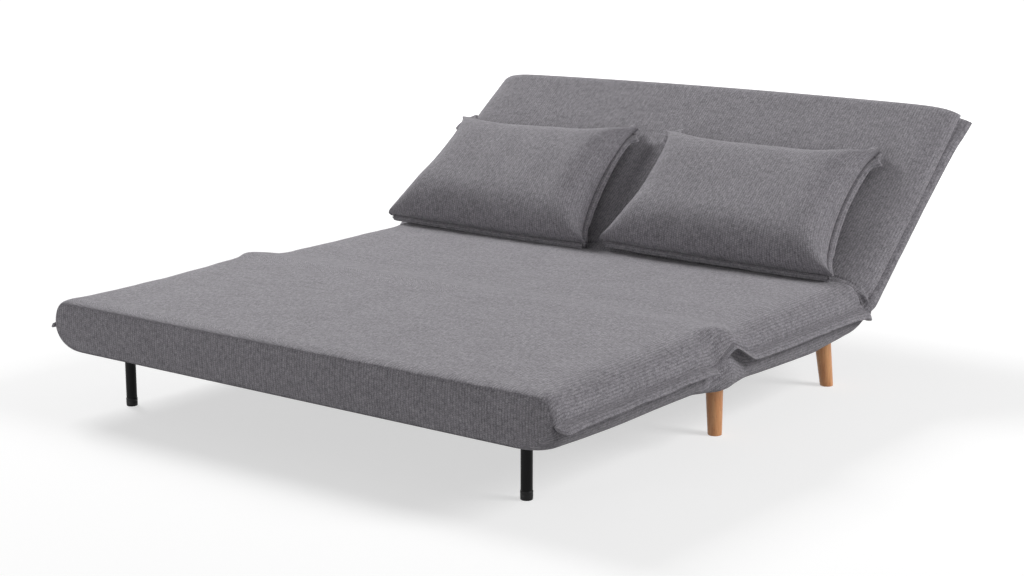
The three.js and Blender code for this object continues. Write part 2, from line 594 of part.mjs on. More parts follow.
function addSeatSection(parent) {
  const frameStart = END_PADDING;
  const frameEnd = seatFrameEnd();
  const body = paddedBody(CREASE_GAP, SEAT_LENGTH + NOSE_RADIUS, UNDERSIDE_HEIGHT, TOP, seatSideView(),
    SEAT_FLANGE_STOP, SEAT_LENGTH + 7);
  const plateInset = FRAME_SIDE - LEG_PLATE_SIZE - LEG_PLATE_INSET;
  const legs = [];
  for (const [label, side] of BOTH_SIDES) {
    const [plateX] = across(side, plateInset, plateInset + LEG_PLATE_SIZE);
    legs.push({ label: `front_${label}`, side, back: -1, y: FRONT_LEG_Y, plateX, plateY: frameStart + 4 });
    legs.push({ label: `rear_${label}`, side, back: 1, y: REAR_LEG_Y, plateX, plateY: frameEnd - 40 });
  }
  const holes = legs.map((leg) => post(WOOD_LEG_TOP_RADIUS + 1.5, leg.side * WOOD_LEG_SIDE, leg.y,
    UNDERSIDE_HEIGHT - 1, POCKET_FLOOR + 1, 32));
  const rearPockets = BOTH_SIDES.map(([, side]) => {
    const [x0, x1] = across(side, plateInset - 1, plateInset + LEG_PLATE_SIZE + 1);
    return block(x0, x1, frameEnd - 44, frameEnd + LEG_PLATE_SIZE - 38, POCKET_FLOOR, RAIL_BOTTOM + 9);
  });
  const cushion = cut(body, pocket(frameStart, frameEnd, POCKET_FLOOR, POCKET_TOP), ...rearPockets,
    ...hingeSlots(0, END_PADDING + FOLD_STRIP + SLOT_CLEARANCE, RAIL_BOTTOM + 2, TOP + 1),
    ...hingeSlots(frameEnd - RECLINE_STRIP - SLOT_CLEARANCE, SEAT_LENGTH + NOSE_RADIUS + 1, RAIL_BOTTOM + 2, TOP + 1),
    ...holes);
  add(parent, 'seat_cushion', cushion, fabric);
  addFrame(parent, 'seat', ['front', 'rear'], frameStart, frameEnd, RAIL_BOTTOM);
  for (const leg of legs) {
    const x = leg.side * WOOD_LEG_SIDE;
    add(parent, `wooden_leg_${leg.label}`, woodenLeg(x, leg.y, leg.side, leg.back), stainedWood);
    add(parent, `leg_plate_${leg.label}`, legPlate(x, leg.y, leg.plateX, leg.plateY), zincSteel);
    add(parent, `leg_bolt_${leg.label}`, legBolt(x, leg.y), zincSteel);
  }
  for (const [label, side] of BOTH_SIDES) {
    add(parent, `fold_hinge_seat_plate_${label}`, foldPlate(side, 1, OUTER_HINGE_X), zincSteel);
    add(parent, `fold_hinge_pin_${label}`, hingePin(side, FOLD_Y, FOLD_Z), zincSteel);
    add(parent, `recline_seat_plate_${label}`, reclineSeatPlate(side), zincSteel);
    add(parent, `recline_pin_${label}`, hingePin(side, SEAT_LENGTH, PIVOT_LEVEL), zincSteel);
  }
}

// The backrest is drawn lying level, with its pivot at the origin of its own group.
function addBackrest(parent) {
  const bottom = -BACK_THICKNESS / 2;
  const toLevel = bottom - UNDERSIDE_HEIGHT;
  const side = sideView(BACK_START, BACK_LENGTH, bottom, -bottom,
    { low: BACK_LOWER_CORNER, high: BACK_LOWER_CORNER }, { low: BACK_END_LOW, high: BACK_END_HIGH });
  const body = paddedBody(BACK_START, BACK_LENGTH, bottom, -bottom, side, BACK_START + 2, BACK_LENGTH - 3);
  const frameStart = BACK_START + END_PADDING;
  const frameEnd = BACK_LENGTH - END_PADDING;
  const cushion = cut(body, pocket(frameStart, frameEnd, POCKET_FLOOR + toLevel, POCKET_TOP + toLevel),
    ...hingeSlots(0, frameStart + RECLINE_STRIP + SLOT_CLEARANCE, RAIL_BOTTOM + toLevel + 2, RATCHET_RADIUS));
  add(parent, 'back_cushion', cushion, fabric);
  addFrame(parent, 'back', ['lower', 'upper'], frameStart, frameEnd, RAIL_BOTTOM + toLevel);
  for (const [label, side] of BOTH_SIDES) {
    add(parent, `recline_back_plate_${label}`, reclineBackPlate(side, RAIL_BOTTOM + toLevel), zincSteel);
  }
}

// Rounded rectangle that stands inset from the outline of a pillow.
function pillowOutline(x0, x1, inset, radius) {
  const y0 = PILLOW_START + inset;
  const y1 = PILLOW_START + PILLOW_HEIGHT - inset;
  return roundedRectangle(x0 + inset, x1 - inset, y0, y1, radius);
}

// One side of a pillow's filling, from its seam at level as far as reach, which is negative for its back.
function pillowHalf(x0, x1, level, reach) {
  const plan = pillowOutline(x0, x1, PILLOW_FLANGE + PILLOW_ROLL, 20);
  const puff = Math.abs(reach) - PILLOW_EDGE;
  const whole = new THREE.ExtrudeGeometry(plan, {
    depth: 2 * PILLOW_EDGE, bevelThickness: puff, bevelSize: PILLOW_ROLL, bevelSegments: 6, curveSegments: 4,
  }).translate(0, 0, level - PILLOW_EDGE);
  const [z0, z1] = reach > 0 ? [level, level + reach + 1] : [level + reach - 1, level];
  const keep = block(x0 - 1, x1 + 1, PILLOW_START - 1, PILLOW_START + PILLOW_HEIGHT + 1, z0, z1);
  return solid(whole).intersect(solid(keep));
}

// Loose pillow with a flat flange all round, drawn on the face of the backrest, which presses its back flat.
function pillow(x0, x1) {
  const face = BACK_THICKNESS / 2 + PIECE_GAP;
  const rim = face + PILLOW_RIM;
  const half = PILLOW_FLANGE_THICKNESS / 2;
  const flangeSheet = alongZ(pillowOutline(x0, x1, 0, 12), rim - half, rim + half, 3);
  return pillowHalf(x0, x1, rim, PILLOW_THICKNESS - PILLOW_RIM)
    .add(pillowHalf(x0, x1, rim, -PILLOW_RIM))
    .add(solid(flangeSheet));
}

function addPillows(parent) {
  const half = PILLOW_MEET_GAP / 2;
  add(parent, 'pillow_left', pillow(PILLOW_SPLIT - half - PILLOW_WIDTH, PILLOW_SPLIT - half), pillowFabric);
  add(parent, 'pillow_right', pillow(PILLOW_SPLIT + half, PILLOW_SPLIT + half + PILLOW_WIDTH), pillowFabric);
}

// ---- Assembly -----------------------------------------------------------------------------

const sofaBed = new THREE.Group();
sofaBed.name = 'futon_sofa_bed';
sofaBed.position.y = -CENTRE_Y;

addFootSection(sofaBed);
addLegHoop(sofaBed);
addSeatSection(sofaBed);

const backrest = new THREE.Group();
backrest.name = 'backrest';
backrest.position.set(0, SEAT_LENGTH, PIVOT_LEVEL);
backrest.rotation.x = BACK_SLOPE;
addBackrest(backrest);
addPillows(backrest);
sofaBed.add(backrest);

export default sofaBed;
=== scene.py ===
# %% [markdown]
# A futon sofa bed in a woven grey cover, opened to its lounging position.
# The steel frame, slats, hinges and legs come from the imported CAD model. Everything soft is
# made here: one long cover over the foot section and seat, the backrest cover, the stitched
# flanges along the sides, and two scatter pillows. Each soft piece takes its place from the
# CAD nodes and the joints, so it bends where the steel frame bends.

# %% Load the frame
import json
import math
import bmesh
import bpy
import numpy as np
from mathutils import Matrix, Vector


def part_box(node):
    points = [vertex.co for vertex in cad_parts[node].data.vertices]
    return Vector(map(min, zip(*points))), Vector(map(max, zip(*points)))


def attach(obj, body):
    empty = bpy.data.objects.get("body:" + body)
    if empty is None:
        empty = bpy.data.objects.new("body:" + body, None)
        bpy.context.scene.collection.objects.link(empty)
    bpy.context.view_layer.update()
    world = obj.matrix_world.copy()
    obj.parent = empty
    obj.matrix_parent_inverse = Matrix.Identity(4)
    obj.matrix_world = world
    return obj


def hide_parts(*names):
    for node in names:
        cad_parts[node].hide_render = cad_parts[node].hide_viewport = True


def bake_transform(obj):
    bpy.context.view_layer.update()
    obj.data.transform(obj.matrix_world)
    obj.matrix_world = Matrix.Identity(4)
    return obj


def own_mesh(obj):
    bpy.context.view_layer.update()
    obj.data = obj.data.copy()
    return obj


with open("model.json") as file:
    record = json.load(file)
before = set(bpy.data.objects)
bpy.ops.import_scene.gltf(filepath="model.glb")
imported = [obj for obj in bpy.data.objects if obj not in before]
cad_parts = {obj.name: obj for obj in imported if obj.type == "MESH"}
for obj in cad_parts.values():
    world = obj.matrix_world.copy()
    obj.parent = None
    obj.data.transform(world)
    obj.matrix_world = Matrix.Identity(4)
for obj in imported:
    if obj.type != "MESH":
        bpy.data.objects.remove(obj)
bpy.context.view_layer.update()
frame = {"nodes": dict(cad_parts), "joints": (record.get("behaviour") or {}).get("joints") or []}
joints = {joint["name"]: joint for joint in frame["joints"]}
fold_hinge = Vector(joints["front_fold"]["pos_m"])
recline_hinge = Vector(joints["backrest_recline"]["pos_m"])

# %% [markdown]
# An upholsterer measures a cover from its seams. The soft pieces are drawn the same way, in
# millimetres from the crease between the foot section and the seat: x to the side, y along the
# bed and z above the floor. The backrest has its own rule: s up the slope from its pivot and
# n out of its middle plane.

# %% Two ways to measure
CREASE = 22.0      # mm from the fold hinge to the crease in the cover
MM = 1000          # millimetres in a metre
HINGE_Y = fold_hinge.y * MM
PIVOT_Y = (recline_hinge.y - fold_hinge.y) * MM - CREASE
PIVOT_Z = recline_hinge.z * MM
SLOPE = math.radians(38)    # how far the backrest stands up at rest


def to_frame(points):
    """Millimetres from the crease to metres in the frame."""
    p = np.asarray(points, float)
    return (p + np.array([0, HINGE_Y + CREASE, 0])) / MM


def on_backrest(x, s, n, turn=1.0):
    """A point on the backrest: s up the slope, n out of it. turn = 0 leaves it level."""
    a = SLOPE * np.asarray(turn)
    y = PIVOT_Y + s * np.cos(a) - n * np.sin(a)
    z = PIVOT_Z + s * np.sin(a) + n * np.cos(a)
    return np.stack(np.broadcast_arrays(x, y, z), -1)


print(f"backrest pivot {PIVOT_Y:.0f} mm behind the crease, {PIVOT_Z:.1f} mm up")

# %% [markdown]
# A cover changes little from one place to the next, so its shape is noted at a few stations and
# read off smoothly in between. A plain spline would swing past the notes and make a wave in the
# cloth. This one takes its slopes from both neighbours, and so it stays flat at every peak.

# %% Smooth tables and soft steps
def table(rows):
    """A smooth curve through rows of (place, value), flat at peaks, never overshooting."""
    x = np.array([r[0] for r in rows], float)
    y = np.array([r[1] for r in rows], float)
    step = np.diff(x)
    rise = np.diff(y) / step
    slope = np.zeros(len(x))
    slope[0], slope[-1] = rise[0], rise[-1]
    for i in range(1, len(x) - 1):
        if rise[i - 1] * rise[i] > 0:
            a, b = 2 * step[i] + step[i - 1], step[i] + 2 * step[i - 1]
            slope[i] = (a + b) / (a / rise[i - 1] + b / rise[i])

    def value(at):
        at = np.clip(np.asarray(at, float), x[0], x[-1])
        i = np.clip(np.searchsorted(x, at) - 1, 0, len(x) - 2)
        t = (at - x[i]) / step[i]
        h = step[i]
        return ((2 * t**3 - 3 * t**2 + 1) * y[i] + (t**3 - 2 * t**2 + t) * h * slope[i]
                + (3 * t**2 - 2 * t**3) * y[i + 1] + (t**3 - t**2) * h * slope[i + 1])
    return value


def smooth_step(t):
    """0 below t = 0, 1 above t = 1, and a soft S between."""
    t = np.clip(t, 0, 1)
    return t * t * (3 - 2 * t)


def bell(d):
    """1 at d = 0 and next to nothing from d = 2 on."""
    return np.exp(-np.square(d))


print("half way up a soft step:", smooth_step(0.5), "and one width off a bell:", round(bell(1.0), 3))

# %% [markdown]
# Cloth over foam is never quite flat: it dips and swells by a millimetre or two where the foam,
# the slats and the thread pull on it. A sum of long waves in fixed random directions gives that
# ripple, the same one at every run.

# %% Slow ripples in the cloth
WAVE_LENGTHS = (420, 330, 260, 190, 150, 120, 95, 75, 60, 48)    # mm
USUAL_PEAK = 5      # what the sum of the waves seldom passes
FULL_CIRCLE = 2 * math.pi
ripple_draw = np.random.default_rng(7)
RIPPLES = []
for wave_length in WAVE_LENGTHS:
    for _ in range(3):
        angle = ripple_draw.uniform(0, FULL_CIRCLE)
        RIPPLES.append((FULL_CIRCLE / wave_length * math.cos(angle),
                        FULL_CIRCLE / wave_length * math.sin(angle),
                        ripple_draw.uniform(0, FULL_CIRCLE), math.sqrt(wave_length / 420)))


def ripple(a, b, finest=48):
    """About -1 to 1 over the surface, where a and b are millimetres along it."""
    total = np.zeros(np.broadcast(a, b).shape)
    for wa, wb, phase, weight in RIPPLES:
        if FULL_CIRCLE / math.hypot(wa, wb) >= finest * 0.99:
            total = total + weight * np.sin(wa * a + wb * b + phase)
    return total / USUAL_PEAK


print(len(RIPPLES), "waves of", WAVE_LENGTHS[-1], "to", WAVE_LENGTHS[0], "mm")

# %% [markdown]
# Every cover here is a net of rows and columns, like the threads of the cloth it stands for.
# Sculpted or remeshed shapes would need unwrapping, and the weave would run crooked in them. A
# net keeps it straight: the map called "cloth" holds metres of cloth across and along.

# %% A net of quads with a cloth map
CLOTH_MAP = "cloth"


def in_scene(name, data):
    """A new object, linked into the scene."""
    thing = bpy.data.objects.new(name, data)
    bpy.context.scene.collection.objects.link(thing)
    return thing


def net(name, rows, across, along, closed=True, ends=(True, True)):
    """rows: (R, C, 3) in metres. across: (R, C + closed) and along: (R,) or (R, C + closed), metres."""
    rows = np.asarray(rows, float)
    r_count, c_count = rows.shape[:2]
    across = np.broadcast_to(across, (r_count, c_count + closed))
    along = np.asarray(along, float)
    along = along[:, None] if along.ndim == 1 else along
    along = np.broadcast_to(along, (r_count, c_count + closed))
    verts = [tuple(p) for p in rows.reshape(-1, 3)]
    faces, maps = [], []
    for r in range(r_count - 1):
        for c in range(c_count if closed else c_count - 1):
            d = (c + 1) % c_count
            faces.append((r * c_count + c, r * c_count + d, (r + 1) * c_count + d, (r + 1) * c_count + c))
            maps += [(across[r, c], along[r, c]), (across[r, c + 1], along[r, c + 1]),
                     (across[r + 1, c + 1], along[r + 1, c + 1]), (across[r + 1, c], along[r + 1, c])]
    for r, wanted in zip((0, r_count - 1), ends):
        if closed and wanted:
            middle = len(verts)
            verts.append(tuple(rows[r].mean(0)))
            for c in range(c_count):
                d = (c + 1) % c_count
                faces.append((middle, r * c_count + d, r * c_count + c) if r == 0
                             else (middle, r * c_count + c, r * c_count + d))
                maps += [(0, along[r, c])] + [(across[r, c], along[r, c])] * 2
    mesh = bpy.data.meshes.new(name)
    mesh.from_pydata(verts, [], faces)
    layer = mesh.uv_layers.new(name=CLOTH_MAP)
    layer.data.foreach_set("uv", np.array(maps, float).ravel())
    mesh.polygons.foreach_set("use_smooth", [True] * len(mesh.polygons))
    mesh.validate()
    return in_scene(name, mesh)


print("every net carries a map called", CLOTH_MAP)

# %% [markdown]
# A net may be wound either way round, and a closed piece whose faces look inwards is shaded and
# exported wrongly. Blender can find the outside itself, so the rows needn't be kept in one
# order. The cloth map needs the true length along a row of points.

# %% Faces that look out, and lengths of cloth
def outward(piece, weld=0.0):
    """Turns the faces of a closed piece to look out, and first welds points closer than weld."""
    bm = bmesh.new()
    bm.from_mesh(piece.data)
    if weld:
        bmesh.ops.remove_doubles(bm, verts=bm.verts, dist=weld)
    bmesh.ops.recalc_face_normals(bm, faces=bm.faces)
    bm.to_mesh(piece.data)
    bm.free()
    return piece


def arc_lengths(loop):
    """Length along a row of points, from its first."""
    steps = np.linalg.norm(np.diff(loop, axis=0), axis=1)
    return np.concatenate([[0], np.cumsum(steps)])


print("a 3 by 4 step is", arc_lengths(np.array([[0, 0], [3, 4]]))[-1], "long")

# %% [markdown]
# The foot section and the seat share one cover, because the fold between them is a bend in the
# cloth and not a cut. Each cross-section is a flat top, a generous roll down to the side seam,
# a boxy lower corner and the belly. A block with bevelled edges would have one radius all
# along, so the cover is lofted instead: what changes along the bed is kept in small tables, the
# way a pattern cutter marks stations on a long panel. The heights come first.

# %% Heights of the long cover, in mm along the bed
low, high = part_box("foot_cushion")
FOOT_END = low.y * MM - HINGE_Y - CREASE
HALF_WIDTH = high.x * MM
FLANGE_WIDTH = 27     # mm
SEAT_END = 646        # mm, where the seat's top meets the backrest
SIDE = HALF_WIDTH - FLANGE_WIDTH
top_height = table([(-630, 258), (-599, 258), (-562, 258), (-526, 259), (-451, 260.5), (-374, 262.5),
                    (-296, 264), (-215, 266), (-132, 267), (-90, 268), (-25, 269.5), (40, 265.5),
                    (85, 259.5), (130, 257.7), (176, 259.2), (270, 259.8), (366, 260.7), (466, 261.8),
                    (560, 262), (600, 262), (614, 260), (624, 253), (632, 240), (638, 223), (643, 205),
                    (646, 190)])
seam_height = table([(-630, 196), (-300, 197), (-110, 199), (-80, 196), (-60, 192), (-44, 195), (-32, 203),
                     (-20, 213), (-4, 225), (15, 234), (38, 225), (65, 211), (87, 200), (115, 196),
                     (500, 196), (600, 196), (630, 192), (646, 184)])
belly_height = table([(-630, 140), (-560, 140), (-400, 139), (-200, 141), (-110, 141), (-60, 137), (-10, 133),
                      (40, 135), (100, 137), (180, 134), (285, 131), (413, 129), (470, 133), (521, 136),
                      (589, 142), (621, 151), (646, 166)])
print(f"cover runs from {FOOT_END:.0f} mm to {SEAT_END} mm, side seam at {SIDE:.0f} mm, "
      f"top {float(top_height(130)):.0f} to {float(top_height(-25)):.0f} mm up")

# %% [markdown]
# The second set of tables holds what the foam does to the corners. The side is pulled in a
# little in front of the fold and bulges behind it. The roll along the upper edge is 88 mm in
# full foam and tightens to about half of that at the fold and at the ends. The corners are
# superellipses: an ellipse whose power is raised above 2 gets the slightly square shoulder that
# foam has under tight cloth.

# %% Sides, rolls and corners of the long cover
side_reach = table([(-630, 723), (-110, 723), (-60, 719), (-20, 727), (15, 731), (50, 727), (110, 723),
                    (570, 723), (610, 727), (634, 729), (646, 720)])
recess = table([(-630, 0), (-120, 0), (-60, 12), (5, 15), (50, 9), (110, 0), (646, 0)])
top_roll = table([(-630, 38), (-600, 56), (-540, 80), (-480, 88), (-200, 88), (-100, 66), (-22, 44), (20, 50),
                  (80, 74), (150, 88), (520, 88), (600, 60), (646, 46)])
roll_power = table([(-630, 2.2), (-560, 2.6), (-130, 2.6), (-30, 1.9), (25, 1.9), (110, 2.5), (646, 2.5)])
lower_power = table([(-630, 2.4), (-590, 2.5), (-400, 3.0), (646, 3.0)])
belly_roll = table([(-630, 60), (-500, 50), (-120, 46), (-60, 24), (20, 20), (120, 28), (420, 28), (600, 28),
                    (646, 40)])


def superellipse(angle, power):
    """(across, up) on a rounded corner as the angle goes from 0 to 90 degrees."""
    s, c = np.sin(angle), np.cos(angle)
    return np.maximum(s, 0) ** (2 / power), np.maximum(c, 0) ** (2 / power)


shoulder_at_45 = superellipse(math.pi / 4, roll_power(-300))[0]
print(f"the shoulder reaches {shoulder_at_45:.2f} of the way out at 45 degrees, a circle 0.71")

# %% [markdown]
# One function draws the section at any station. An inset makes the same section a little
# smaller, which rounds the foot end without a second set of tables: the top comes down by the
# inset, the side comes in a bit more, and the belly hardly moves. The seam itself is a shallow
# groove where the thread pulls the cloth in.

# %% One cross-section
FLAT_POINTS = 50      # across the flat top, from the middle to the roll
BELLY_POINTS = 21
QUARTER = math.pi / 2
SEAM_PULL, SEAM_HALF = 4.0, 3.5      # mm: depth and half the width of the seam's groove
BELLY_UP, SIDE_IN, CORNER_MORE = 0.1, 1.2, 3.2      # mm for each mm of inset
RECESS_BELOW, RECESS_RUN = 20, 18    # mm below the seam where the hinge recess lies, and its spread
quarter = np.linspace(0, QUARTER, 19)


def cover_section(y, inset=0.0):
    """Half a section at y, from the top centre over the side to the belly centre: x and z."""
    top = top_height(y) - inset
    seam = seam_height(y)
    belly = belly_height(y) + BELLY_UP * inset
    side = side_reach(y) - SIDE_IN * inset
    across, up = superellipse(quarter, roll_power(y))
    shoulder = side - top_roll(y)
    x = [np.linspace(0, shoulder, FLAT_POINTS, endpoint=False), shoulder + top_roll(y) * across]
    z = [np.full(FLAT_POINTS, top), seam + (top - seam) * up]
    out, down = superellipse(quarter[1:], lower_power(y) - 0.07 * inset)
    corner = belly_roll(y) + CORNER_MORE * inset
    lower_x = side - corner + corner * down
    lower_z = seam - (seam - belly) * out
    lower_x = lower_x - recess(y) * bell((lower_z - seam + RECESS_BELOW) / RECESS_RUN)
    x += [lower_x, np.linspace(side - corner, 0, BELLY_POINTS + 1)[1:]]
    z += [lower_z, np.full(BELLY_POINTS, belly)]
    x, z = np.concatenate(x), np.concatenate(z)
    x = x - SEAM_PULL * bell((z - seam) / SEAM_HALF) * (x > side - 12)
    return x, z


def whole_loop(half, length):
    """A half section mirrored into a closed loop, and the length of cloth at each of its points."""
    mirrored = half[::-1][1:-1] * np.array([-1, 1, 1])
    return np.concatenate([half, mirrored]), np.concatenate([length, 2 * length[-1] - length[::-1][1:]])


def cover_loop(y, inset=0.0):
    """The whole section as a closed loop of points in millimetres, and its metres of cloth."""
    x, z = cover_section(y, inset)
    half = np.stack([x, np.full_like(x, y), z], 1)
    return whole_loop(half, arc_lengths(half / MM))


print(f"round a section in the middle of the foot section: {cover_loop(-300)[1][-1]:.2f} m of cloth")

# %% [markdown]
# The sections now follow each other from the foot end to the seat's rear edge: close together
# where the cloth turns over the foot end or bends at the fold, and further apart where it runs
# straight. On top of the tables come the ripples, and a slight rise where the eyes of the fold
# hinges press up from below.

# %% Loft the long cover
EDGE = 9          # mm that the cloth rolls down to the welt at the foot end
EDGE_RUN = 36     # and the length of bed over which it does so
HINGE_COVER = 5   # how far the cloth rises over the eyes of the fold hinges
TOP_RIPPLE, SIDE_RIPPLE = 1.3, 0.8      # mm
roll = np.linspace(0, QUARTER, 9)
stations = [(FOOT_END + 14, 20.0), (FOOT_END + 4, 12.0), (FOOT_END + 1.5, 9.5)]
stations += [(FOOT_END + EDGE_RUN * (1 - math.cos(a)), EDGE * (1 - math.sin(a))) for a in roll]
stations += [(y, 0.0) for y in np.arange(FOOT_END + EDGE_RUN + 9, -130, 12)]
stations += [(y, 0.0) for y in np.arange(-128, 132, 6)]
stations += [(y, 0.0) for y in np.arange(136, 560, 12)]
stations += [(y, 0.0) for y in np.arange(562, SEAT_END + 1, 6)]
rows, across = [], []
for y, inset in stations:
    loop, metres = cover_loop(y, inset)
    rows.append(loop)
    across.append(metres)
rows = np.array(rows)
x, y, z = rows[..., 0], rows[..., 1], rows[..., 2]
on_top = smooth_step((z - 215) / 35) * smooth_step((y - FOOT_END - 5) / 60)
over_hinge = bell((np.abs(x) - 694) / 34) * bell((y + CREASE) / 44) * (z > 235)
rows[..., 2] += TOP_RIPPLE * ripple(x, y) * on_top + HINGE_COVER * over_hinge
on_side = (np.abs(x) > 640) * (y > FOOT_END + 20)
rows[..., 0] += np.sign(x) * SIDE_RIPPLE * ripple(y, z * 2 + 300, 75) * on_side
along = arc_lengths(to_frame([(0, s[0], top_height(s[0]) - s[1]) for s in stations]))
long_cover = outward(net("cover_foot_and_seat", to_frame(rows), np.array(across), along))
print("long cover", len(long_cover.data.polygons), "faces")

# %% [markdown]
# The end panel closes the cover at the foot. It is a separate piece of cloth with the threads
# standing upright, sewn to the top with a fine seam that sinks into the foam, so its edge lies a
# few millimetres back and its middle is slightly crowned.

# %% Foot end panel
PANEL_INSET = 7.5       # mm that the panel is smaller than the section behind it
SEAM_SINK = 3.0         # mm that its seam lies back
SEAM_ROLL = 3.6         # mm that the cloth comes forward again beside the seam
PANEL_CROWN = 3.0       # and further in, over the foam
PANEL_RIPPLE = 0.7
SEAM_ALLOWANCE = 12     # mm of cloth turned in behind the seam
outline_x, outline_z = cover_section(FOOT_END, PANEL_INSET)
seam_index = int(np.argmax(outline_x))
reach = outline_x[seam_index]
nearing = np.linspace(1, 0, 26)[1:] ** 1.8
columns = np.concatenate([np.linspace(0, 600, 51), reach - (reach - 600) * nearing])
columns = np.concatenate([-columns[::-1][:-1], columns])
upper = np.interp(np.abs(columns), outline_x[:seam_index + 1], outline_z[:seam_index + 1])
lower = np.interp(np.abs(columns), outline_x[seam_index:][::-1], outline_z[seam_index:][::-1])
share = 0.5 - 0.5 * np.cos(math.pi * np.linspace(0, 1, 19))
z = lower + (upper - lower) * share[:, None]
x = np.broadcast_to(columns, z.shape)
from_edge = np.minimum(np.minimum(upper - z, z - lower), 4.0 * (reach - np.abs(x)))
y = FOOT_END + SEAM_SINK - SEAM_ROLL * smooth_step(from_edge / 6) - PANEL_CROWN * smooth_step(from_edge / 55)
y = y - PANEL_RIPPLE * ripple(x, z * 2, 75) * smooth_step(from_edge / 20)
panel = np.stack([x, y, z], -1)
back_edge = panel + np.array([0, SEAM_ALLOWANCE, 0])
panel = np.concatenate([back_edge[:1], panel, back_edge[-1:]])
end_panel = net("foot_end_panel", to_frame(panel), panel[..., 0] / MM,
                panel[..., 2] / MM, closed=False)
print("end panel", len(end_panel.data.polygons), "faces")

# %% [markdown]
# Cloth doesn't turn a sharp corner. Its paths are drawn with few points, and the corners are
# then cut off again and again until the line is smooth. The points along it are spaced evenly
# afterwards, so that the squares of the net stay square.

# %% Smooth paths with even points
def rounded(points, cuts=3):
    """Cuts the corners of a line of points again and again, until it is a smooth curve."""
    p = np.asarray(points, float)
    for _ in range(cuts):
        q = 0.75 * p[:-1] + 0.25 * p[1:]
        r = 0.25 * p[:-1] + 0.75 * p[1:]
        p = np.concatenate([p[:1], np.stack([q, r], 1).reshape(-1, p.shape[1]), p[-1:]])
    return p


def resampled(points, spacing):
    """Points at an even spacing along the line."""
    length = arc_lengths(points)
    at = np.linspace(0, length[-1], max(2, int(round(length[-1] / spacing))) + 1)
    return np.stack([np.interp(at, length, points[:, k]) for k in range(points.shape[1])], 1)


print("a corner of 3 points becomes", len(rounded([(0, 0), (1, 0), (1, 1)])), "points")

# %% [markdown]
# Where the bed folds, each section ends in an upright wall of cloth that turns under the frame.
# On the flat bed these walls face each other across the fold and nobody sees them. With the foot
# section folded over they are the front of the sofa, one above the other. A box of foam would
# hide the hinges too, but it would jam them, so the walls are single sheets of cloth that stand
# just inside the ends of the cushions.

# %% End walls at the fold
FOLD_WALL = 3         # mm that a wall stands inside the end of its cushion
WALL_REACH = 684      # mm from the middle to its end, just inside the hinge plates
WALL_TOP = 251        # mm up, under the roll of the long cover
WALL_FOOT = 142.5     # mm up, where the cloth turns under the rails
WALL_CROWN = 5        # mm that the foam swells it
TURNED_UNDER = {"seat": 70, "foot": 110}      # mm of cloth under the rails


def wall_place(section, towards):
    """Where a wall stands along the bed; towards is +1 for the section behind the fold."""
    low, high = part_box(f"{section}_cushion")
    return (low.y if towards > 0 else high.y) * MM - HINGE_Y - CREASE + towards * FOLD_WALL


def fold_wall(section, towards):
    """The wall of a section at the fold, from below the roll down and under the rails."""
    wall_y = wall_place(section, towards)
    path = rounded([(wall_y + towards * 8, WALL_TOP), (wall_y, WALL_TOP - 4), (wall_y, 200),
                    (wall_y, WALL_FOOT + 8), (wall_y + towards * 10, WALL_FOOT),
                    (wall_y + towards * TURNED_UNDER[section], WALL_FOOT)])
    path = resampled(path, 7)
    columns = np.linspace(-WALL_REACH, WALL_REACH, 99)
    height = path[:, 1][:, None]
    crown = (WALL_CROWN * bell((height - 200) / 45) * smooth_step((height - 155) / 12)
             * smooth_step((WALL_REACH - np.abs(columns)) / 40))
    swell = crown + SIDE_RIPPLE * ripple(columns + 200 * towards, height * 1.5, 75) * (crown > 1)
    y = path[:, 0][:, None] - towards * swell
    wall = np.stack(np.broadcast_arrays(columns, y, height), -1)
    along = arc_lengths(np.concatenate([path, path[:, :1]], 1) / MM)
    return net(f"{section}_fold_wall", to_frame(wall), np.broadcast_to(columns / MM, wall.shape[:2]),
               np.broadcast_to(along[:, None], wall.shape[:2]), closed=False)


seat_wall, foot_wall = fold_wall("seat", 1), fold_wall("foot", -1)
print("fold walls", len(seat_wall.data.polygons), "and", len(foot_wall.data.polygons), "faces")

# %% [markdown]
# At both ends of a wall the cloth has to go round the hinge plates, which stand outside it. A
# short cheek does that: it steps out past the plate, turns the corner in a small radius, and
# runs on along the side. Its foot is drawn in where it turns under, like the wall's.

# %% Cheeks round the fold hinges
CHEEK = 24            # mm that a cheek stands outside the end of its wall, past the hinge plates
CHEEK_TURN = 8        # mm of radius at its corner
CHEEK_FOOT = 30       # mm of height over which its foot is drawn in


def fold_cheek(section, towards, side, word):
    """The cloth that turns from the end of a wall round the hinge and along the side."""
    turn = np.linspace(0, QUARTER, 6)
    plan = [(0, 0)] + [(CHEEK - CHEEK_TURN + CHEEK_TURN * math.sin(a), CHEEK_TURN - CHEEK_TURN * math.cos(a))
                       for a in turn]
    behind = np.arange(2 * CHEEK_TURN, TURNED_UNDER[section] - 4, 9.0)
    plan = np.array(plan + [(CHEEK, back) for back in behind])
    height = np.linspace(WALL_TOP - 1, WALL_FOOT, 18)[:, None]
    full = np.sqrt(np.clip(1 - (1 - np.clip((height - WALL_FOOT) / CHEEK_FOOT, 0, 1)) ** 2, 0, 1))
    x = side * (WALL_REACH + plan[:, 0] * full)
    y = wall_place(section, towards) + towards * plan[:, 1]
    sheet = np.stack(np.broadcast_arrays(x, y, height), -1)
    along = arc_lengths(np.concatenate([plan, plan[:, :1]], 1) / MM)
    return net(f"{section}_fold_cheek_{word}", to_frame(sheet), np.broadcast_to(along, sheet.shape[:2]),
               np.broadcast_to(height / MM, sheet.shape[:2]), closed=False)


SIDES = ((-1, "left"), (1, "right"))
cheeks = {section: [fold_cheek(section, towards, side, word) for side, word in SIDES]
          for section, towards in (("seat", 1), ("foot", -1))}
print("cheeks at the fold", {section: len(pair) for section, pair in cheeks.items()})

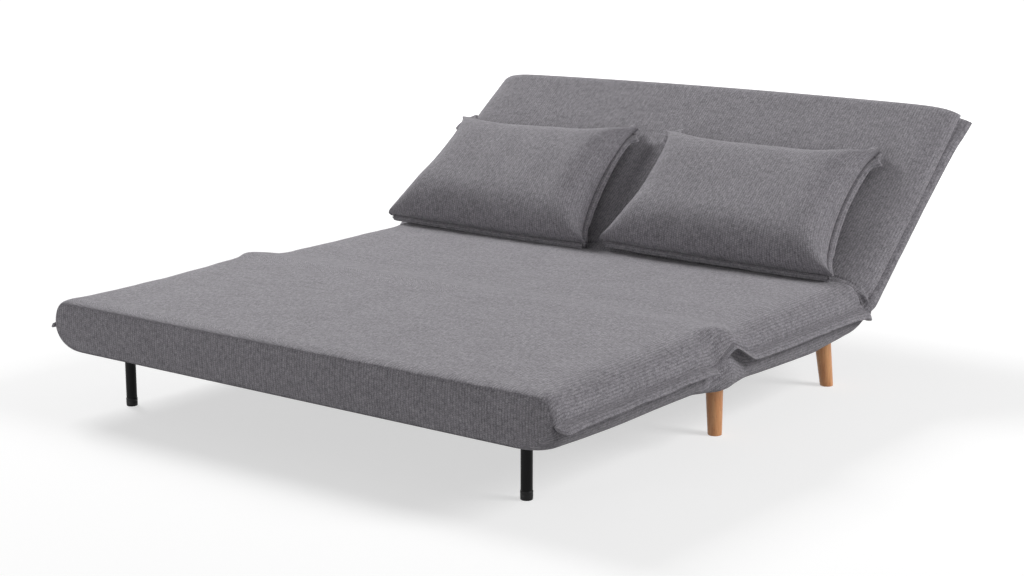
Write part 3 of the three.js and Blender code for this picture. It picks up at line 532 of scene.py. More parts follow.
# %% [markdown]
# Along both sides the upper and lower cloth are sewn together into a flat, slightly puffy
# flange. A curve with a bevel can't change its section on the way. This is a strip with a rounded
# edge, lofted from one small section along a path that has its own width, thickness and droop at
# every station.

# %% A stitched flange
SEWN_GAP = 0.008      # metres of cloth across the root, where the strip is sewn in


def strip_section(share, fatness, squareness):
    """Out along the top of a strip and back below it: shares of its width and of its thickness."""
    half = 0.5 * np.sqrt(np.clip(1 - np.abs(share) ** squareness, 0, 1)) * fatness
    return np.concatenate([share, share[::-1][1:]]), np.concatenate([half, -half[::-1][1:]])


def flange(name, roots, outs, ups, width, thick, along, fat_at=0.5, fat_run=0.38):
    """roots, outs and ups: (N, 3) in mm; width and thick: (N,) in mm; along: (N,) metres.

    fat_at and fat_run say where across its width it is thickest, and over how much of it.
    """
    share = np.array([-0.3, 0.0, 0.12, 0.28, 0.45, 0.62, 0.78, 0.9, 0.97, 1.0])
    a, b = strip_section(share, 0.42 + 0.6 * bell((share - fat_at) / fat_run), 4)
    rows = (roots[:, None] + outs[:, None] * (width[:, None] * a)[..., None]
            + ups[:, None] * (thick[:, None] * b)[..., None])
    across = arc_lengths(np.stack([a * FLANGE_WIDTH, b * 8], 1) / MM)
    across = np.append(across, across[-1] + SEWN_GAP)
    return outward(net(name, to_frame(rows), across, along))


def tongue(place, start, end, start_round, end_round):
    """1 along a strip, falling to 0 in a rounded tongue at both ends."""
    near = np.clip(np.minimum((place - start) / start_round, (end - place) / end_round), 0, 1)
    return np.sqrt(np.clip(1 - (1 - near) ** 2.4, 0, 1))


print("a tongue 5 mm from its end is", round(float(tongue(5, 0, 100, 24, 12)), 2), "of the full width")

# %% [markdown]
# The foot section and the seat have two flanges on each side, with a break between them at the
# fold, where a stitched edge would be too stiff to bend. The seat's flange rises over the fold
# hinge and is narrow there. Both hang down a little, more at their ends.

# %% Side flanges of the foot section and the seat
ROOT_INSIDE = 3.0     # mm that a flange starts inside the side of the cover


def side_flange(name, side, y0, y1, root_height, droop, width, thick, start_round, end_round):
    """A flange along one side from y0 to y1, from tables in mm and degrees."""
    middle = np.arange(y0, y1, 8.0)
    nearing = 1 - np.cos(np.linspace(0, QUARTER, 9))
    inside = middle[(middle > y0 + start_round) & (middle < y1 - end_round)]
    y = np.unique(np.concatenate([y0 + 0.2 + start_round * nearing, inside,
                                  y1 - 0.2 - end_round * nearing]))
    turn = np.radians(droop(y)) + np.radians(2.5) * ripple(y * 1.5, np.full_like(y, 90.0 * side), 60)
    roots = np.stack([side * (side_reach(y) - ROOT_INSIDE), y,
                      root_height(y) + SIDE_RIPPLE * ripple(y, y * 0, 75)], 1)
    outs = np.stack([side * np.cos(turn), 0 * y, -np.sin(turn)], 1)
    ups = np.stack([side * np.sin(turn), 0 * y, np.cos(turn)], 1)
    full = tongue(y, y0, y1, start_round, end_round)
    return flange(name, roots, outs, ups, width(y) * full, thick(y) * (0.35 + 0.65 * full), y / MM)


foot_root = table([(-630, 197), (-300, 197.5), (-130, 199), (-90, 198), (-46, 192)])
foot_droop = table([(-630, 36), (-590, 22), (-500, 18), (-120, 17), (-46, 24)])
foot_width = table([(-630, 30), (-46, 27)])
even_thick = table([(-630, 11), (-300, 10.5), (640, 10)])
seat_droop = table([(-62, 30), (-20, 35), (15, 30), (50, 26), (100, 20), (560, 20), (610, 28), (637, 34)])
seat_width = table([(-62, 12), (-20, 11), (15, 14), (50, 22), (100, 29), (590, 30), (637, 28)])
seat_thick = table([(-62, 5), (15, 6), (60, 9), (120, 11), (590, 12), (637, 22)])
foot_flanges, seat_flanges = [], []
for side, word in SIDES:
    foot_flanges.append(side_flange(f"foot_flange_{word}", side, FOOT_END + 1, -46, foot_root, foot_droop,
                                    foot_width, even_thick, 24, 12))
    seat_flanges.append(side_flange(f"seat_flange_{word}", side, -60, 642, seam_height, seat_droop,
                                    seat_width, seat_thick, 9, 5))
print("side flanges", [piece.name for piece in foot_flanges + seat_flanges])

# %% [markdown]
# The backrest cover is lofted in the backrest's own rule, then bent: below the pivot it lies
# level inside the seat, above it stands on the slope, and the cloth turns smoothly in between.

# %% Tables for the backrest cover
BACK_TOP = 687        # mm from the pivot to the middle of the top edge
TOP_NOSE = 40         # mm of roll at the top edge
FULL_SIDE = 735       # mm from the middle to the side in the two shapes below
FULL_HALF = 54        # mm from the middle plane to the face
face_half = table([(-75, 40), (-40, 50), (-8, 59), (18, 61), (55, 57), (110, 55), (640, 54.5), (700, 54.5)])
rear_half = table([(-75, 26), (-30, 30), (0, 38), (40, 51), (80, 53.5), (640, 53.5), (700, 53.5)])
back_side = table([(-75, 682), (-40, 696), (-10, 718), (10, 731), (30, 737), (60, 738.5), (200, 738),
                   (400, 735.5), (560, 731), (640, 728), (700, 727)])
upper_seam = table([(0, 52), (600, 51), (657, 49), (682, 45), (702, 40), (719, 32), (734, 24), (745, 14)])
back_thick = float(face_half(200) + rear_half(200))
print(f"backrest cover up to {BACK_TOP} mm from the pivot, {back_thick:.0f} mm thick")

# %% [markdown]
# Its section has two halves that meet in the groove where the flange is sewn in. The face rolls
# over wide at the side and comes back under itself, so that it overhangs the groove; the rear is
# boxy, as cloth pulled over the frame is. Both are drawn with a few points: mm to the side, and
# share of the thickness.

# %% Section of the backrest cover
face_shape = [(0, 1.0), (400, 1.0), (600, 1.015), (642, 1.005), (672, 0.965), (698, 0.88), (715, 0.76),
              (727, 0.62), (735, 0.47), (738, 0.36), (735, 0.25), (722, 0.16), (700, 0.04)]
rear_shape = [(700, 0.04), (708, -0.06), (728, -0.12), (732, -0.35), (728, -0.66), (716, -0.88),
              (694, -0.97), (650, -1.0), (400, -1.0), (0, -1.0)]
ROLL_STARTS = 640     # mm from the middle, where the points have to lie closer
scaled_face = rounded([(px, pn * FULL_HALF) for px, pn in face_shape])
scaled_rear = rounded([(px, pn * FULL_HALF) for px, pn in rear_shape])
face_points = np.concatenate([resampled(scaled_face[scaled_face[:, 0] < ROLL_STARTS + 0.1], 14)[:-1],
                              resampled(scaled_face[scaled_face[:, 0] >= ROLL_STARTS], 6)])
half_outline = np.concatenate([face_points, resampled(scaled_rear, 10)[1:]])
print("half a section has", len(half_outline), "points")

# %% [markdown]
# The loft runs from inside the seat over the pivot and up to the rolled top edge. Where the
# thread of the upper seam runs, the cloth sinks by three millimetres. At the lower corners it is
# folded into small tucks, because there is less room for it there than the cloth is long.

# %% Loft the backrest cover
FACE_RIPPLE, SEAM_DIP, TUCK = 1.2, 3.2, 2.6      # mm
SEAM_LINE = 2.6       # mm, half the width of the seam's dip
NOSE_IN = 16          # mm that the sides come in over the rolled top edge
CORNER_DROP = 12      # mm that the top edge is lower at its corners
nose = np.linspace(0, QUARTER, 9)
s_stations = [(s, 0.0) for s in np.concatenate([np.arange(-75, -12, 9), np.arange(-10, 75, 2.5),
                                                np.arange(80, BACK_TOP - TOP_NOSE - 6, 12)])]
s_stations += [(BACK_TOP - TOP_NOSE, a) for a in nose]
rows, across, along = [], [], []
for s, a in s_stations:
    grow, thin = superellipse(a, 2.3)
    px = half_outline[:, 0] / FULL_SIDE * (back_side(s) - NOSE_IN * (1 - thin) ** 1.5)
    pn = half_outline[:, 1] / FULL_HALF
    pn = np.where(pn > 0, pn * face_half(s), pn * rear_half(s)) * max(thin, 0.02)
    end_here = (s + TOP_NOSE * grow
                - CORNER_DROP * smooth_step((s - 520) / 130) * np.square(px / FULL_SIDE))
    loop, metres = whole_loop(np.stack([px, end_here, pn], 1), arc_lengths(half_outline / MM))
    rows.append(loop)
    across.append(metres)
    along.append((s + TOP_NOSE * a) / MM)
rows = np.array(rows)
x, s, n = rows[..., 0], rows[..., 1], rows[..., 2]
on_face = smooth_step(n / 30) * smooth_step((s - 50) / 40) * smooth_step((670 - s) / 30)
n = n + FACE_RIPPLE * ripple(x + 900, s) * on_face
out_there = np.abs(x)
n = n - SEAM_DIP * bell((s - upper_seam(out_there)) / SEAM_LINE) * (n > 5)
tuck = smooth_step((out_there - 640) / 60) * smooth_step((60 - s) / 18) * smooth_step((s + 20) / 20)
fan = np.sin((s - 0.9 * (FULL_SIDE - out_there)) / 4.2) + 0.6 * np.sin((s + 0.5 * out_there) / 7.0)
x = x - np.sign(x) * TUCK * fan * tuck
turn = np.where(n > 0, smooth_step((s + 25) / 50), smooth_step((s + 45) / 90))
turn = turn + (smooth_step((s + 45) / 90) - turn) * smooth_step((30 - n) / 30)
back_cover = outward(net("cover_backrest", to_frame(on_backrest(x, s, n, turn)), np.array(across),
                         np.array(along)))
print("backrest cover", len(back_cover.data.polygons), "faces")

# %% [markdown]
# The backrest's flanges start deep in the groove, so their width is counted from further in than
# that of the side flanges, and they are fattest near the outer edge. They widen towards the top
# and lean back from the face by about 26 degrees.

# %% Flanges of the backrest
IN_THE_GROOVE = 11    # mm of each flange that the roll hides
flange_width = table([(-10, 14), (10, 26), (40, 32), (90, 31), (340, 30), (560, 33), (676, 40), (679, 38)])
flange_thick = table([(-10, 9), (60, 13.5), (640, 13.5), (668, 10), (679, 4)])
flange_lean = table([(-10, 20), (100, 26), (400, 28), (679, 26)])
flange_root = table([(-10, 701), (30, 705), (400, 702), (600, 700), (679, 700)])
origin = on_backrest(0.0, 0.0, 0.0)
back_flanges = []
for side, word in SIDES:
    s = np.concatenate([np.arange(-8, 640, 9.0), 640 + 37 * np.sin(np.linspace(0, QUARTER, 10))])
    wave = np.radians(4) * ripple(s * 1.5, np.full_like(s, 40.0 + 300 * side), 60)
    lean = np.radians(flange_lean(s)) + wave
    out_x, out_n = np.cos(lean), -np.sin(lean)
    roots = on_backrest(side * flange_root(s), s, 0.0)
    outs = on_backrest(side * out_x, 0.0, out_n) - origin
    ups = on_backrest(side * -out_n, 0.0, out_x) - origin
    back_flanges.append(flange(f"back_flange_{word}", roots, outs, ups, flange_width(s) + IN_THE_GROOVE,
                               flange_thick(s), s / MM, fat_at=0.72, fat_run=0.24))
print("backrest flanges", [piece.name for piece in back_flanges])

# %% [markdown]
# A scatter pillow is a front and a back of cloth sewn together and stuffed. The front is cut
# larger than the back, so that along the seam it bulges over in a soft lip, with the flat rim of
# the back standing out beneath it. One section, from the seam to the middle, says how far in the
# cloth has got and how high it stands. The squares of the net are smaller near the seam, where
# the cloth turns most.

# %% Section of a pillow
RIM = 20            # mm that the flat rim stands out from the seam
LIP_OUT = 10        # mm that the lip bulges out past the seam
LIP_UP = 10         # and the height at which it stands out most
FRONT_SWELL = 77    # mm from the seam to the middle of the face
REAR_SWELL = 25     # mm from the seam to the side that lies on the backrest


def pillow_section(half_width, roll, count):
    """From seam to middle: distance in from the seam, share of the full height, length of cloth."""
    turn = np.linspace(0, QUARTER, 40)
    lip = np.stack([-LIP_OUT * np.sin(turn), LIP_UP * (1 - np.cos(turn))], 1)
    wall = np.stack([-LIP_OUT + roll * (1 - np.cos(turn)**0.9),
                     LIP_UP + (FRONT_SWELL - LIP_UP) * np.sin(turn)**0.95], 1)
    line = np.concatenate([lip, wall[1:], [(half_width, FRONT_SWELL)]])
    length = arc_lengths(line)
    place = np.linspace(0, 1, count + 1)
    place = length[-1] * (0.62 * place + 0.38 * place**2)
    inward, height = (np.interp(place, length, line[:, i]) for i in (0, 1))
    return inward, height / FRONT_SWELL, length[-1] - place


print(f"from seam to middle {pillow_section(300, 96, 42)[2][0]:.0f} mm of cloth over 300 mm")

# %% [markdown]
# The front of the pillow is a net whose height comes from two such sections, one across and one
# up: where either is low, the pillow is low. Stuffing sinks, so the face is fuller in its lower
# half and hangs over the rim there, while the sides and the upper seam are drawn in and the four
# corners stand out as points. The rear is the same net, shrunk to the flat size.

# %% The cut and sewn nets of a pillow
SIDE_ROLL, TOP_ROLL, LOW_ROLL = 96, 74, 118      # mm over which the cloth reaches its full height
SIDE_PULL = 27      # mm that the side seams run in between the corners
TOP_PULL = 20       # and the upper seam
SAG = 8             # mm that the full lower side hangs down over the rim
SAG_HEIGHT = 34     # mm above the seam, where it hangs out most
CORNER_POINT = 7    # mm that the corners are drawn out
LEAN, TOP_LOSS = 0.13, 0.26      # shares of the swell that move down, and that the top loses besides
REAR_BOX = 0.35     # a power below 1, so that the rear soon reaches its full depth
ROUGHNESS = 0.12    # mm of unevenness in the stuffing
SOFT_WAVES = 3.0    # mm of slow ripple in the face


def sewn_nets(width, height, squares_x, squares_y, seed):
    """Front and back in mm, x across and y up: (points, border, faces, flat places)."""
    grid = np.full((2, squares_y + 1, squares_x + 1), -1, int)
    points, flat = [], []
    draw = np.random.default_rng(seed)
    side_wall = pillow_section(width / 2, SIDE_ROLL, squares_x // 2)
    top_wall = pillow_section(height / 2, TOP_ROLL, squares_y // 2)
    low_wall = pillow_section(height / 2, LOW_ROLL, squares_y // 2)
    for side in (0, 1):
        for j in range(squares_y + 1):
            for i in range(squares_x + 1):
                edge = i in (0, squares_x) or j in (0, squares_y)
                if side and edge:
                    grid[1, j, i] = grid[0, j, i]
                    continue
                grid[side, j, i] = len(points)
                in_x, rise_x, cloth_x = (row[min(i, squares_x - i)] for row in side_wall)
                ends = low_wall if j < squares_y / 2 else top_wall
                in_y, rise_y, cloth_y = (row[min(j, squares_y - j)] for row in ends)
                right, up = (1 if 2 * i > squares_x else -1), (1 if 2 * j > squares_y else -1)
                flat.append((right * cloth_x, up * cloth_y))
                if side:
                    all_x, all_y = side_wall[2][0], ends[2][0]
                    in_x = max(all_x - cloth_x, 0) * (width / 2 / all_x)
                    in_y = max(all_y - cloth_y, 0) * (height / 2 / all_y)
                px, py = right * (width / 2 - in_x), up * (height / 2 - in_y)
                u, v = px / width * 2, py / height * 2
                full = 0.0 if edge else 1 / (1 / rise_x + 1 / rise_y - 1)
                if side:
                    lift = -REAR_SWELL * full**REAR_BOX
                else:
                    lift = FRONT_SWELL * full * (1 - LEAN * v - TOP_LOSS * max(v, 0) ** 2)
                    py -= SAG * bell((lift - SAG_HEIGHT) / 30) * max(-v, 0) ** 5 * (1 - abs(u) ** 5)
                px -= SIDE_PULL * u * u * u * (1 - abs(v)**2.2)
                px += right * CORNER_POINT * (u * v) ** 10
                py -= TOP_PULL * max(v, 0) ** 3 * (1 - u**4)
                points.append((px, py, lift + (0 if edge else draw.normal(0, ROUGHNESS))))
    points, flat = np.array(points), np.array(flat)
    faces = []
    for side in (0, 1):
        for j in range(squares_y):
            for i in range(squares_x):
                q = [grid[side, j, i], grid[side, j, i + 1], grid[side, j + 1, i + 1], grid[side, j + 1, i]]
                faces.append(tuple(map(int, q if side == 0 else q[::-1])))
    border = ([grid[0, 0, i] for i in range(squares_x)]
              + [grid[0, j, squares_x] for j in range(squares_y)]
              + [grid[0, squares_y, i] for i in range(squares_x, 0, -1)]
              + [grid[0, j, 0] for j in range(squares_y, 0, -1)])
    soft = ripple(points[:, 0] + seed * 70, points[:, 1], 110)
    points[:, 2] += SOFT_WAVES * soft * np.clip(points[:, 2] / FRONT_SWELL, 0, 1)
    return points, border, faces, flat


print(f"each pillow starts as {FRONT_SWELL + REAR_SWELL} mm of stuffing between two nets")

# %% [markdown]
# Blender's cloth solver now blows the nets up with the seam held: the pressure rounds the faces
# and draws the cloth tight towards the corners. Gravity is off, because the pillow lies on the
# backrest. No point may move further than a set distance, so that the pillow keeps its size, and
# the moves are evened out between neighbours, so that the solver leaves no creases.

# %% Stuffing by the cloth solver
SOLVER_STEPS = 20
PRESSURE = 1.0
MOST_SWELL = 5      # mm that the solver may move a point
EVENED_OUT = 14     # times that each move is averaged with its neighbours'
SOLVER_SETTINGS = {"use_pressure": True, "uniform_pressure_force": PRESSURE, "tension_stiffness": 15,
                   "compression_stiffness": 15, "shear_stiffness": 5, "bending_stiffness": 4.0, "quality": 5}


def solved(name, points, border, faces):
    """Where the cloth solver takes the points, in mm."""
    mesh = bpy.data.meshes.new(name + "_blank")
    mesh.from_pydata([tuple(p / MM) for p in points], [], faces)
    blank = in_scene(name + "_blank", mesh)
    held = blank.vertex_groups.new(name="seam")
    held.add([int(i) for i in border], 1.0, "REPLACE")
    cloth = blank.modifiers.new("stuffing", "CLOTH")
    cloth.settings.vertex_group_mass = "seam"
    for setting, value in SOLVER_SETTINGS.items():
        setattr(cloth.settings, setting, value)
    cloth.settings.effector_weights.gravity = 0
    cloth.point_cache.frame_start = 1
    cloth.point_cache.frame_end = SOLVER_STEPS
    for step in range(1, SOLVER_STEPS + 1):
        bpy.context.scene.frame_set(step)
    shape = blank.evaluated_get(bpy.context.evaluated_depsgraph_get())
    blown = np.array([v.co for v in shape.data.vertices]) * MM
    bpy.context.scene.frame_set(1)
    bpy.data.objects.remove(blank)
    return blown


def stuffed(name, points, border, faces):
    """The points after the solver's moves, capped and evened out."""
    moved = solved(name, points, border, faces) - points
    far = np.linalg.norm(moved, axis=1)
    print(f"{name}: the solver moved points by up to {far.max():.1f} mm, {far.mean():.1f} mm on average")
    moved *= (MOST_SWELL * np.tanh(far / MOST_SWELL) / np.maximum(far, 1e-6))[:, None]
    links = np.array([(f[k], f[(k + 1) % 4]) for f in faces for k in range(4)])
    count = np.bincount(links[:, 0], minlength=len(points))[:, None]
    pinned = np.array(border)
    for _ in range(EVENED_OUT):
        total = np.zeros_like(moved)
        np.add.at(total, links[:, 0], moved[links[:, 1]])
        moved = 0.5 * moved + 0.5 * total / count
        moved[pinned] = 0
    return points + moved


print(f"the solver takes {SOLVER_STEPS} steps and may move a point by {MOST_SWELL} mm")

# %% [markdown]
# Each pillow was dropped in place by hand, so neither lies as an exact rectangle. Where a point
# belongs on the backrest is worked out from its place between the four corners, each of which
# has its own small shift.

# %% Placing a pillow on the backrest
# mm across and up, for the lower left, lower right, upper right and upper left corner
CORNERS = {"left": ((4, 2), (14, -9), (-50, 4), (22, -15)),
           "right": ((14, 11), (24, -4), (-26, 4), (10, 4))}
PILLOW_WIDTH, PILLOW_HEIGHT = 660, 433      # mm over the rim
PILLOW_FOOT = 17    # mm up the slope from the pivot to its lower edge
BACK_FACE = 53.5    # mm from the middle plane to the face of the backrest
LIFT = 27.3         # mm from the face of the backrest to the seam


def on_pillow(word, middle, p):
    """Points of a pillow, x across and y up from its middle and z out, in metres of the frame."""
    u, v = p[..., 0] / (PILLOW_WIDTH / 2), p[..., 1] / (PILLOW_HEIGHT / 2)
    share = [(1 - u) * (1 - v) / 4, (1 + u) * (1 - v) / 4, (1 + u) * (1 + v) / 4, (1 - u) * (1 + v) / 4]
    x = middle + p[..., 0] + sum(w * c[0] for w, c in zip(share, CORNERS[word]))
    s = PILLOW_FOOT + PILLOW_HEIGHT / 2 + p[..., 1] + sum(w * c[1] for w, c in zip(share, CORNERS[word]))
    n = BACK_FACE + LIFT + p[..., 2]
    return to_frame(on_backrest(x, s, n))


print(f"a pillow lies {LIFT} mm off the face, {PILLOW_FOOT} mm above the pivot")

# %% [markdown]
# The rim of a pillow is what is left outside the seam: the two cloths pressed together, wavy
# at the edge and drawn out into ears at the upper corners. It follows the seam that the solver
# has drawn and leans back a little towards the backrest.

# %% The rim of a pillow
EAR = 22            # mm from a corner in which the rim stands out further
TOUCHING = 0.00001  # metres between the two ends of the rim where they are welded
RIM_THICK = 15      # mm at the root
RIM_BACK = 3.5      # mm that the rim stands behind the seam, and again as much at its edge


def unit_vectors(vectors):
    """Vectors of the same direction and length 1."""
    return vectors / np.linalg.norm(vectors, axis=1)[:, None]


def pillow_rim(word, rim, width, height, middle, seed):
    """The rim along the seam points rim, each in mm."""
    ring = resampled(np.concatenate([rim, rim[:1]]), 8)[:-1]
    tangent = unit_vectors(np.roll(ring, -1, 0) - np.roll(ring, 1, 0))
    out = np.stack([tangent[:, 1], -tangent[:, 0], 0 * tangent[:, 0]], 1)
    if np.mean(np.sum(out * ring, 1)) < 0:
        out = -out
    for _ in range(3):
        out = (np.roll(out, 1, 0) + 2 * out + np.roll(out, -1, 0)) / 4
    out = unit_vectors(out)
    to_corner = np.abs(np.abs(ring[:, 0]) - width / 2) + np.abs(np.abs(ring[:, 1]) - height / 2)
    to_corner = np.minimum(to_corner, 200)
    ears = np.where(ring[:, 1] > 0, 1.1, 0.0) * bell(to_corner / EAR)
    reach = RIM * (np.where(ring[:, 1] > -height * 0.35, 1.0, 0.85) + ears)
    wave = 1.8 * ripple(ring[:, 0] * 1.4 + seed * 90, ring[:, 1] * 1.4, 75)
    share = np.array([-0.5, -0.2, 0.0, 0.2, 0.4, 0.6, 0.78, 0.9, 0.97, 1.0])
    a, b = strip_section(share, 0.5 + 0.5 * bell((share - 0.55) / 0.35), 3)
    rows = ring[:, None] + out[:, None] * (reach[:, None] * a)[..., None]
    rows[..., 2] += b * RIM_THICK - RIM_BACK + (wave - RIM_BACK)[:, None] * np.clip(a, 0, 1)
    rows = np.concatenate([rows, rows[:1]])
    across = arc_lengths(np.stack([a * RIM, b * RIM_THICK], 1) / MM)
    across = np.append(across, across[-1] + SEWN_GAP)
    along = arc_lengths(np.concatenate([ring, ring[:1]]) / MM)
    strip = net(f"pillow_{word}_rim", on_pillow(word, middle, rows), across, along, ends=(False, False))
    return outward(strip, weld=TOUCHING)


print(f"a rim reaches {RIM} mm out and {RIM * 2.1:.0f} mm at the upper corners")

# %% [markdown]
# Both pillows are made in the same way, with different random seeds, so that no two ripples are
# the same. The rear is flattened where it lies against the backrest. One subdivision turns the
# squares of the net into smooth cloth.

# %% Two stuffed pillows
SQUARES_X, SQUARES_Y = 84, 56
REAR_FLAT, REAR_GIVE = 20, 6      # mm behind the seam where the rear meets the backrest, and how softly


def pillow(word, seed):
    """The filled cover and the rim of one pillow."""
    low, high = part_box(f"pillow_{word}")
    x0, x1 = low.x * MM, high.x * MM
    width, height = x1 - x0 - 2 * RIM, PILLOW_HEIGHT - 2 * RIM
    points, border, faces, flat = sewn_nets(width, height, SQUARES_X, SQUARES_Y, seed)
    points = stuffed(f"pillow_{word}", points, border, faces)
    pressed = -REAR_FLAT - REAR_GIVE * np.tanh((-REAR_FLAT - points[:, 2]) / REAR_GIVE)
    points[:, 2] = np.where(points[:, 2] > -REAR_FLAT, points[:, 2], pressed)
    rim = points[border]
    print(f"pillow {word}: x from {x0:.0f} to {x1:.0f}, seam {np.ptp(rim[:, 0]):.0f} by "
          f"{np.ptp(rim[:, 1]):.0f} mm, thickness {np.ptp(points[:, 2]):.0f} mm")
    middle = (x0 + x1) / 2
    mesh = bpy.data.meshes.new(f"pillow_{word}_filled_cover")
    mesh.from_pydata([tuple(p) for p in on_pillow(word, middle, points)], [], faces)
    layer = mesh.uv_layers.new(name=CLOTH_MAP)
    loop_verts = np.array([loop.vertex_index for loop in mesh.loops])
    layer.data.foreach_set("uv", (flat[loop_verts] / MM).ravel())
    mesh.polygons.foreach_set("use_smooth", [True] * len(mesh.polygons))
    body = outward(in_scene(mesh.name, mesh))
    finer = body.modifiers.new("finer cloth", "SUBSURF")
    finer.levels = finer.render_levels = 1
    return body, pillow_rim(word, rim, width, height, middle, seed)


pillows = {"left": pillow("left", 11), "right": pillow("right", 23)}
print("pillows", [piece.name for pair in pillows.values() for piece in pair])

# %% [markdown]
# The wooden legs and the feet of the leg hoop are turned shapes. Their CAD solids have flat
# facets, which smooth shading alone can't hide at the outline, so each is turned again here with
# more sides. The wooden legs lean outwards by a few degrees, so their levels are read at the
# foot and at the top and the piece is turned about the line between them.

# %% Turning a piece about its axis
SAME_LEVEL = 2e-4     # metres within which points belong to one level


def ring_of(node, level):
    """Centre and radius of a CAD node at one of its levels."""
    co = np.array([v.co for v in frame["nodes"][node].data.vertices])
    co = co[np.abs(co[:, 2] - level) < SAME_LEVEL]
    low, high = co.min(0), co.max(0)
    return (low + high) / 2, float((high - low)[:2].mean() / 2)


def turned(name, node, profile, sides=64):
    """Turns a profile of (share of the height, metres in from the radius) about a node's axis."""
    low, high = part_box(node)
    foot, foot_radius = ring_of(node, low.z)
    head, head_radius = ring_of(node, high.z)
    angle = np.linspace(0, FULL_CIRCLE, sides, endpoint=False)
    rows = []
    for up, inset in profile:
        centre = foot + (head - foot) * up
        radius = foot_radius + (head_radius - foot_radius) * up - inset
        rows.append(np.stack([centre[0] + radius * np.cos(angle), centre[1] + radius * np.sin(angle),
                              np.full(sides, centre[2])], 1))
    across = np.linspace(0, 1, sides + 1) * FULL_CIRCLE * head_radius
    return outward(net(name, rows, across, np.array([p[0] for p in profile]) * (high.z - low.z)))


leg_low, leg_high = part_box("wooden_leg_front_right")
print(f"a wooden leg is {2 * MM * ring_of('wooden_leg_front_right', leg_low.z)[1]:.0f} mm across at the foot "
      f"and {2 * MM * ring_of('wooden_leg_front_right', leg_high.z)[1]:.0f} mm at the top")

# %% [markdown]
# A leg is a plain taper whose foot edge is broken with sandpaper, so that it doesn't splinter. A
# foot cap is moulded with a small radius below, a groove that grips the tube, and a lip above.

# %% Wooden legs and foot caps
leg_profile = [(0, 0.004), (0, 0.0022), (0.0015, 0.0010), (0.004, 0.0003), (0.01, 0)]
leg_profile += [(up, 0) for up in np.linspace(0.05, 1, 20)]
cap_profile = [(0, 0.004), (0, 0.0012), (0.03, 0.0003), (0.08, 0.0), (0.55, 0.0), (0.60, 0.0007),
               (0.65, 0.0), (0.90, 0.0), (0.97, 0.0006), (1.0, 0.002), (1.0, 0.004)]
legs = {}
for end in ("front", "rear"):
    for _, word in SIDES:
        legs[end, word] = turned(f"turned_leg_{end}_{word}", f"wooden_leg_{end}_{word}", leg_profile)
caps = {word: turned(f"foot_cap_{word}", f"leg_hoop_cap_{word}", cap_profile) for _, word in SIDES}
print(len(legs), "legs and", len(caps), "caps turned")

# %% [markdown]
# Materials start from what each surface really is. Colours are written as the sRGB hex values a
# paint chart gives, and one function turns them into the linear values that the shader mixes.
# Patterns are written by their real size: a noise of n cells to the metre has grains about
# 1000 / n millimetres wide.

# %% Colour and node helpers
def colour(code):
    """#rrggbb to linear RGBA."""
    channels = [int(code[i:i + 2], 16) / 255 for i in (1, 3, 5)]
    return [c / 12.92 if c <= 0.04045 else ((c + 0.055) / 1.055) ** 2.4 for c in channels] + [1]


def per_metre(*sizes):
    """Cells to the metre for grains of these sizes in millimetres."""
    cells = tuple(round(MM / size, 1) for size in sizes)
    return cells if len(cells) > 1 else cells[0]


def new_material(name):
    """An empty node material and its tree."""
    material = bpy.data.materials.new(name)
    material.use_nodes = True
    material.node_tree.nodes.clear()
    return material, material.node_tree


def node(tree, kind, settings=None, **inputs):
    """Adds a node. settings are its own properties; inputs are values or (node, socket) links."""
    n = tree.nodes.new("ShaderNode" + kind)
    for key, value in (settings or {}).items():
        setattr(n, key, value)
    for key, value in inputs.items():
        key = key[1:] if key[0] == "_" else key.replace("_", " ")
        socket = n.inputs[int(key)] if key.isdigit() else n.inputs[key]
        if isinstance(value, bpy.types.Node):
            value = (value, 0)
        if isinstance(value, tuple) and isinstance(value[0], bpy.types.Node):
            tree.links.new(value[0].outputs[value[1]], socket)
        else:
            socket.default_value = value
    return n


def finish_material(tree, shader):
    """Links the shader to the surface."""
    out = node(tree, "OutputMaterial")
    tree.links.new(shader.outputs[0], out.inputs[0])


print("mid grey #808080 is", round(colour("#808080")[0], 3), "in linear light")

# %% [markdown]
# The cover is a woven polyester-viscose melange: thick yarns with light and dark fibres twisted
# together, in a weave of small raised knots with dark gaps between them. The knots stand in
# upright columns 7.1 mm apart with a knot every 4.7 mm, and neighbouring columns are half a knot
# out of step. Single fibres would be far too fine to show, so the flecks are drawn as the short
# slubs of 3 and 8 mm that the eye sees in such a yarn, and a slow change over 71 mm stands for
# uneven dye. The yarn is matt and fuzzy, so it is rough, with a little sheen. An image of cloth
# would repeat and would need the seams to match; nodes that read the cloth map don't.

# %% The weave of knots
COLUMN, KNOT = 0.0071, 0.0047      # metres between columns of knots, and between knots in one
FLECK, SLUB, DYE = per_metre(3.03), per_metre(8.33), per_metre(71.4)


